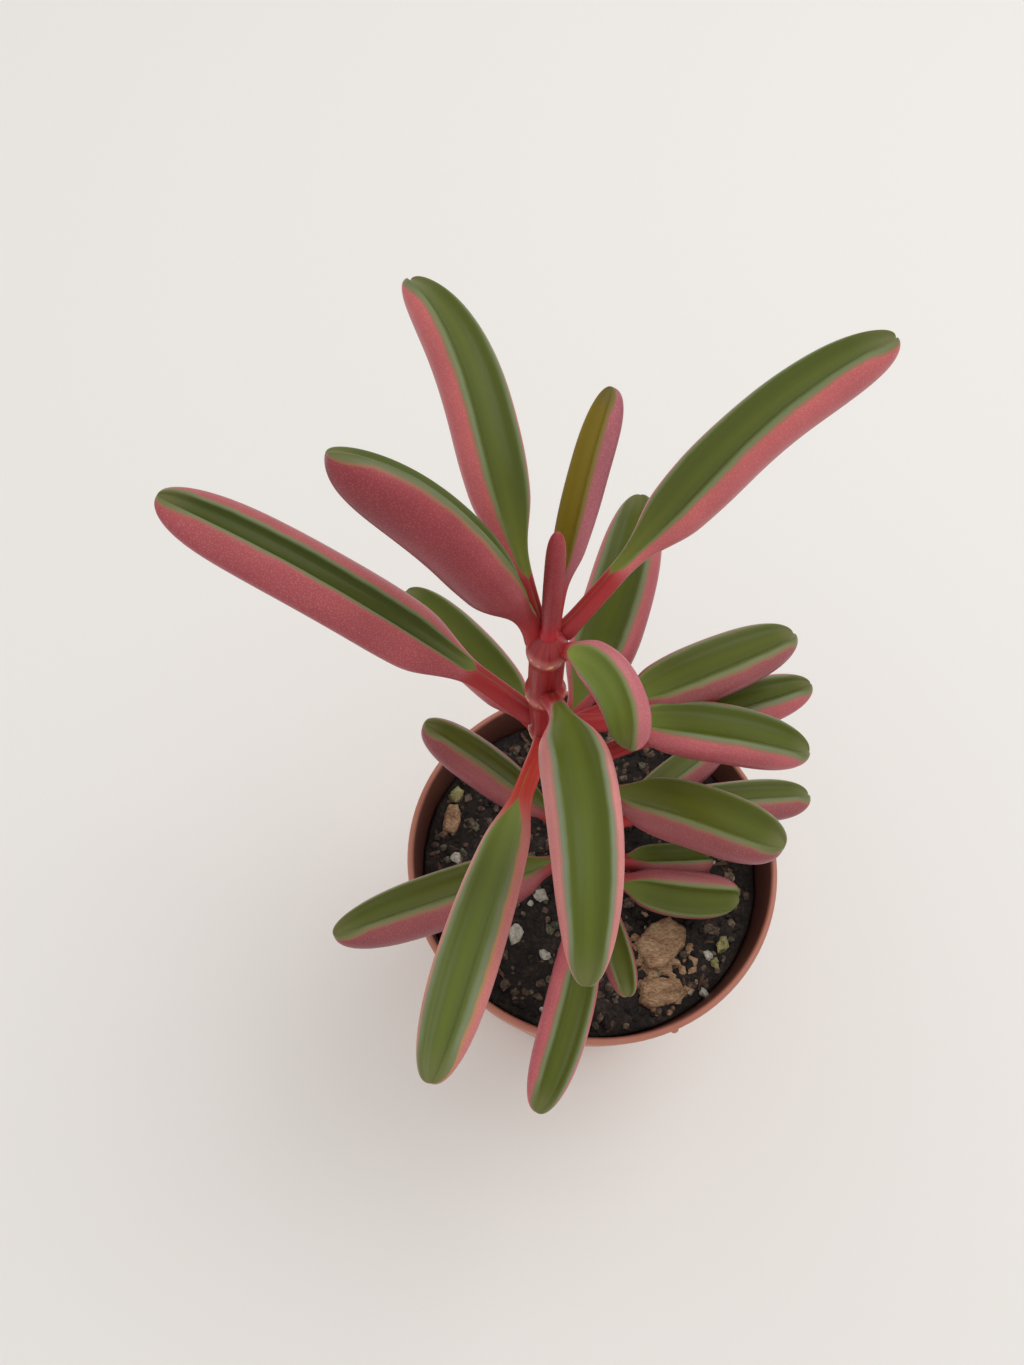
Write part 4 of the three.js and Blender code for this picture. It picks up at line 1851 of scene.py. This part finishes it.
@dataclass
class BarkChip:
    """A flake of bark, split in layers and rounded at its edges.

    block is the share of its thickness below the bevelled top, and fineness the
    size of the cells that it is remeshed in. layer is how far its layers and pits
    stand out, layers the size of a layer along, across and up the chip, and pits the
    share that its pits have in that. crease is as on the pot.
    """

    form: ChipForm
    inset: float = 0.35
    block: float = 0.75
    fineness: float = 0.16
    layer: float = 0.3
    layers: Triple = (3.2, 0.9, 0.5)
    pits: float = 0.4
    pit_pitch: float = 2.2
    sink: float = 0.1
    crease: float = 35.0

    def build(self, finish: bpy.types.Material) -> None:
        """Makes the chip and dresses it.

        Args:
            finish: the bark's material.
        """
        f = self.form
        deselect_all()
        bpy.ops.mesh.primitive_circle_add(vertices=len(CHIP_OUTLINE), radius=MM, fill_type="NGON")
        chip = bpy.context.active_object
        chip.name = "bark_of_" + f.node.removeprefix("bark_")
        for vertex, (x, y) in zip(chip.data.vertices, CHIP_OUTLINE):
            vertex.co = Vector((x * f.length, y * f.breadth, 0)) * MM
        bpy.ops.object.mode_set(mode="EDIT")
        bpy.ops.mesh.select_all(action="SELECT")
        bpy.ops.mesh.extrude_region_move(
            TRANSFORM_OT_translate={"value": (0, 0, f.thickness * MM * self.block)}
        )
        bpy.ops.mesh.inset(
            thickness=self.inset * MM, depth=f.thickness * MM * (1 - self.block)
        )
        bpy.ops.mesh.select_all(action="SELECT")
        bpy.ops.mesh.normals_make_consistent(inside=False)
        bpy.ops.object.mode_set(mode="OBJECT")
        apply_modifier(chip, "REMESH", mode="VOXEL", voxel_size=self.fineness * MM)
        turn = Matrix.Rotation(math.radians(f.heading), 4, "Z")
        turn = turn @ Matrix.Rotation(math.radians(f.tilt), 4, "X")
        long, wide, tall = self.layers
        for vertex in chip.data.vertices:
            at = vertex.co / MM
            lie = Vector((at.x / long, at.y / wide, at.z / tall)) + Vector((f.x, f.y, 0))
            step = noise.noise(lie) + self.pits * noise.noise(at * self.pit_pitch)
            out = Vector((at.x, at.y, at.z - f.thickness / 2)).normalized()
            vertex.co = (at + out * self.layer * step) * MM
        chip.data.transform(
            Matrix.Translation(Vector((f.x, f.y, SOIL_LEVEL - self.sink)) * MM) @ turn
        )
        pick(chip)
        bpy.ops.object.shade_smooth_by_angle(angle=math.radians(self.crease))
        settle(chip, finish, "bark", f.node)


# Stage


@dataclass
class Studio:
    """A plain pale floor, soft light and the camera at the photograph's angle.

    The camera's place, lens and sensor are in millimetres, its pitch down and its
    tilt in degrees. The floor's and the lamp's places and sizes are in metres.
    """

    camera_at: Triple = (-13.7, -54.6, 200.3)
    down: float = 60.9
    tilt: float = 2.83
    lens: float = 27.03
    sensor: float = 36.0
    nearest: float = 5.0
    floor_size: float = 6.0
    floor_colour: str = "#eeece9"
    floor_roughness: float = 0.8
    sky: str = "#fffdfa"
    sky_strength: float = 0.795
    lamp_at: Triple = (0.35, 0.25, 0.75)
    lamp_aim: Triple = (0.0, 0.0, 0.06)
    lamp_size: float = 0.6
    lamp_power: float = 1.7

    def floor(self) -> None:
        """Lays the floor, which isn't part of the object."""
        deselect_all()
        bpy.ops.mesh.primitive_plane_add(size=self.floor_size)
        floor = bpy.context.active_object
        floor.name = "pale_floor"
        g = Graph("matt_card")
        floor.data.materials.append(
            g.finish(Base_Color=linear(self.floor_colour), Roughness=self.floor_roughness)
        )

    def lights(self) -> None:
        """Sets the sky and one broad lamp."""
        world = bpy.data.worlds.new("soft_sky")
        world.use_nodes = True
        back = world.node_tree.nodes["Background"]
        back.inputs["Color"].default_value = linear(self.sky)
        back.inputs["Strength"].default_value = self.sky_strength
        bpy.context.scene.world = world
        deselect_all()
        bpy.ops.object.light_add(type="AREA", location=self.lamp_at)
        lamp = bpy.context.active_object
        lamp.name = "broad_lamp"
        lamp.data.shape = "DISK"
        lamp.data.size = self.lamp_size
        lamp.data.energy = self.lamp_power
        aim = Vector(self.lamp_aim) - lamp.location
        lamp.rotation_euler = aim.to_track_quat("-Z", "Y").to_euler()

    def camera(self) -> None:
        """Stands the camera where the photograph was taken from."""
        down, tilt = math.radians(self.down), math.radians(self.tilt)
        ahead = Vector((0, math.cos(down), -math.sin(down)))
        right = Vector((1, 0, 0))
        up = right.cross(ahead)
        turned_right = right * math.cos(tilt) + up * math.sin(tilt)
        turned_up = up * math.cos(tilt) - right * math.sin(tilt)
        deselect_all()
        bpy.ops.object.camera_add()
        camera = bpy.context.active_object
        camera.name = "photo_camera"
        turn = Matrix((turned_right, turned_up, -ahead)).transposed().to_4x4()
        camera.matrix_world = Matrix.Translation(Vector(self.camera_at) * MM) @ turn
        camera.data.lens = self.lens
        camera.data.sensor_width = self.sensor
        camera.data.clip_start = self.nearest * MM
        bpy.context.scene.camera = camera

    def build(self) -> None:
        """Sets up the whole stage."""
        self.camera()
        self.floor()
        self.lights()
        bpy.context.scene.view_settings.view_transform = "Standard"


# Main


def main() -> None:
    """Builds the stage and every piece in order."""
    logging.basicConfig(level=logging.INFO, format="%(name)s: %(message)s")
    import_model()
    Studio().build()
    pot = Pot()
    pot.build()
    Soil(pot).build()
    bark = BARK.make()
    for chip in CHIPS:
        BarkChip(chip).build(bark)
    line = StemLine()
    Stem(line).build()
    finishes = {kind: kind.value.make() for kind in LeafKind}
    for form in LEAVES:
        Leaf(form, line).build(finishes)
    deselect_all()


if __name__ == "__main__":
    main()
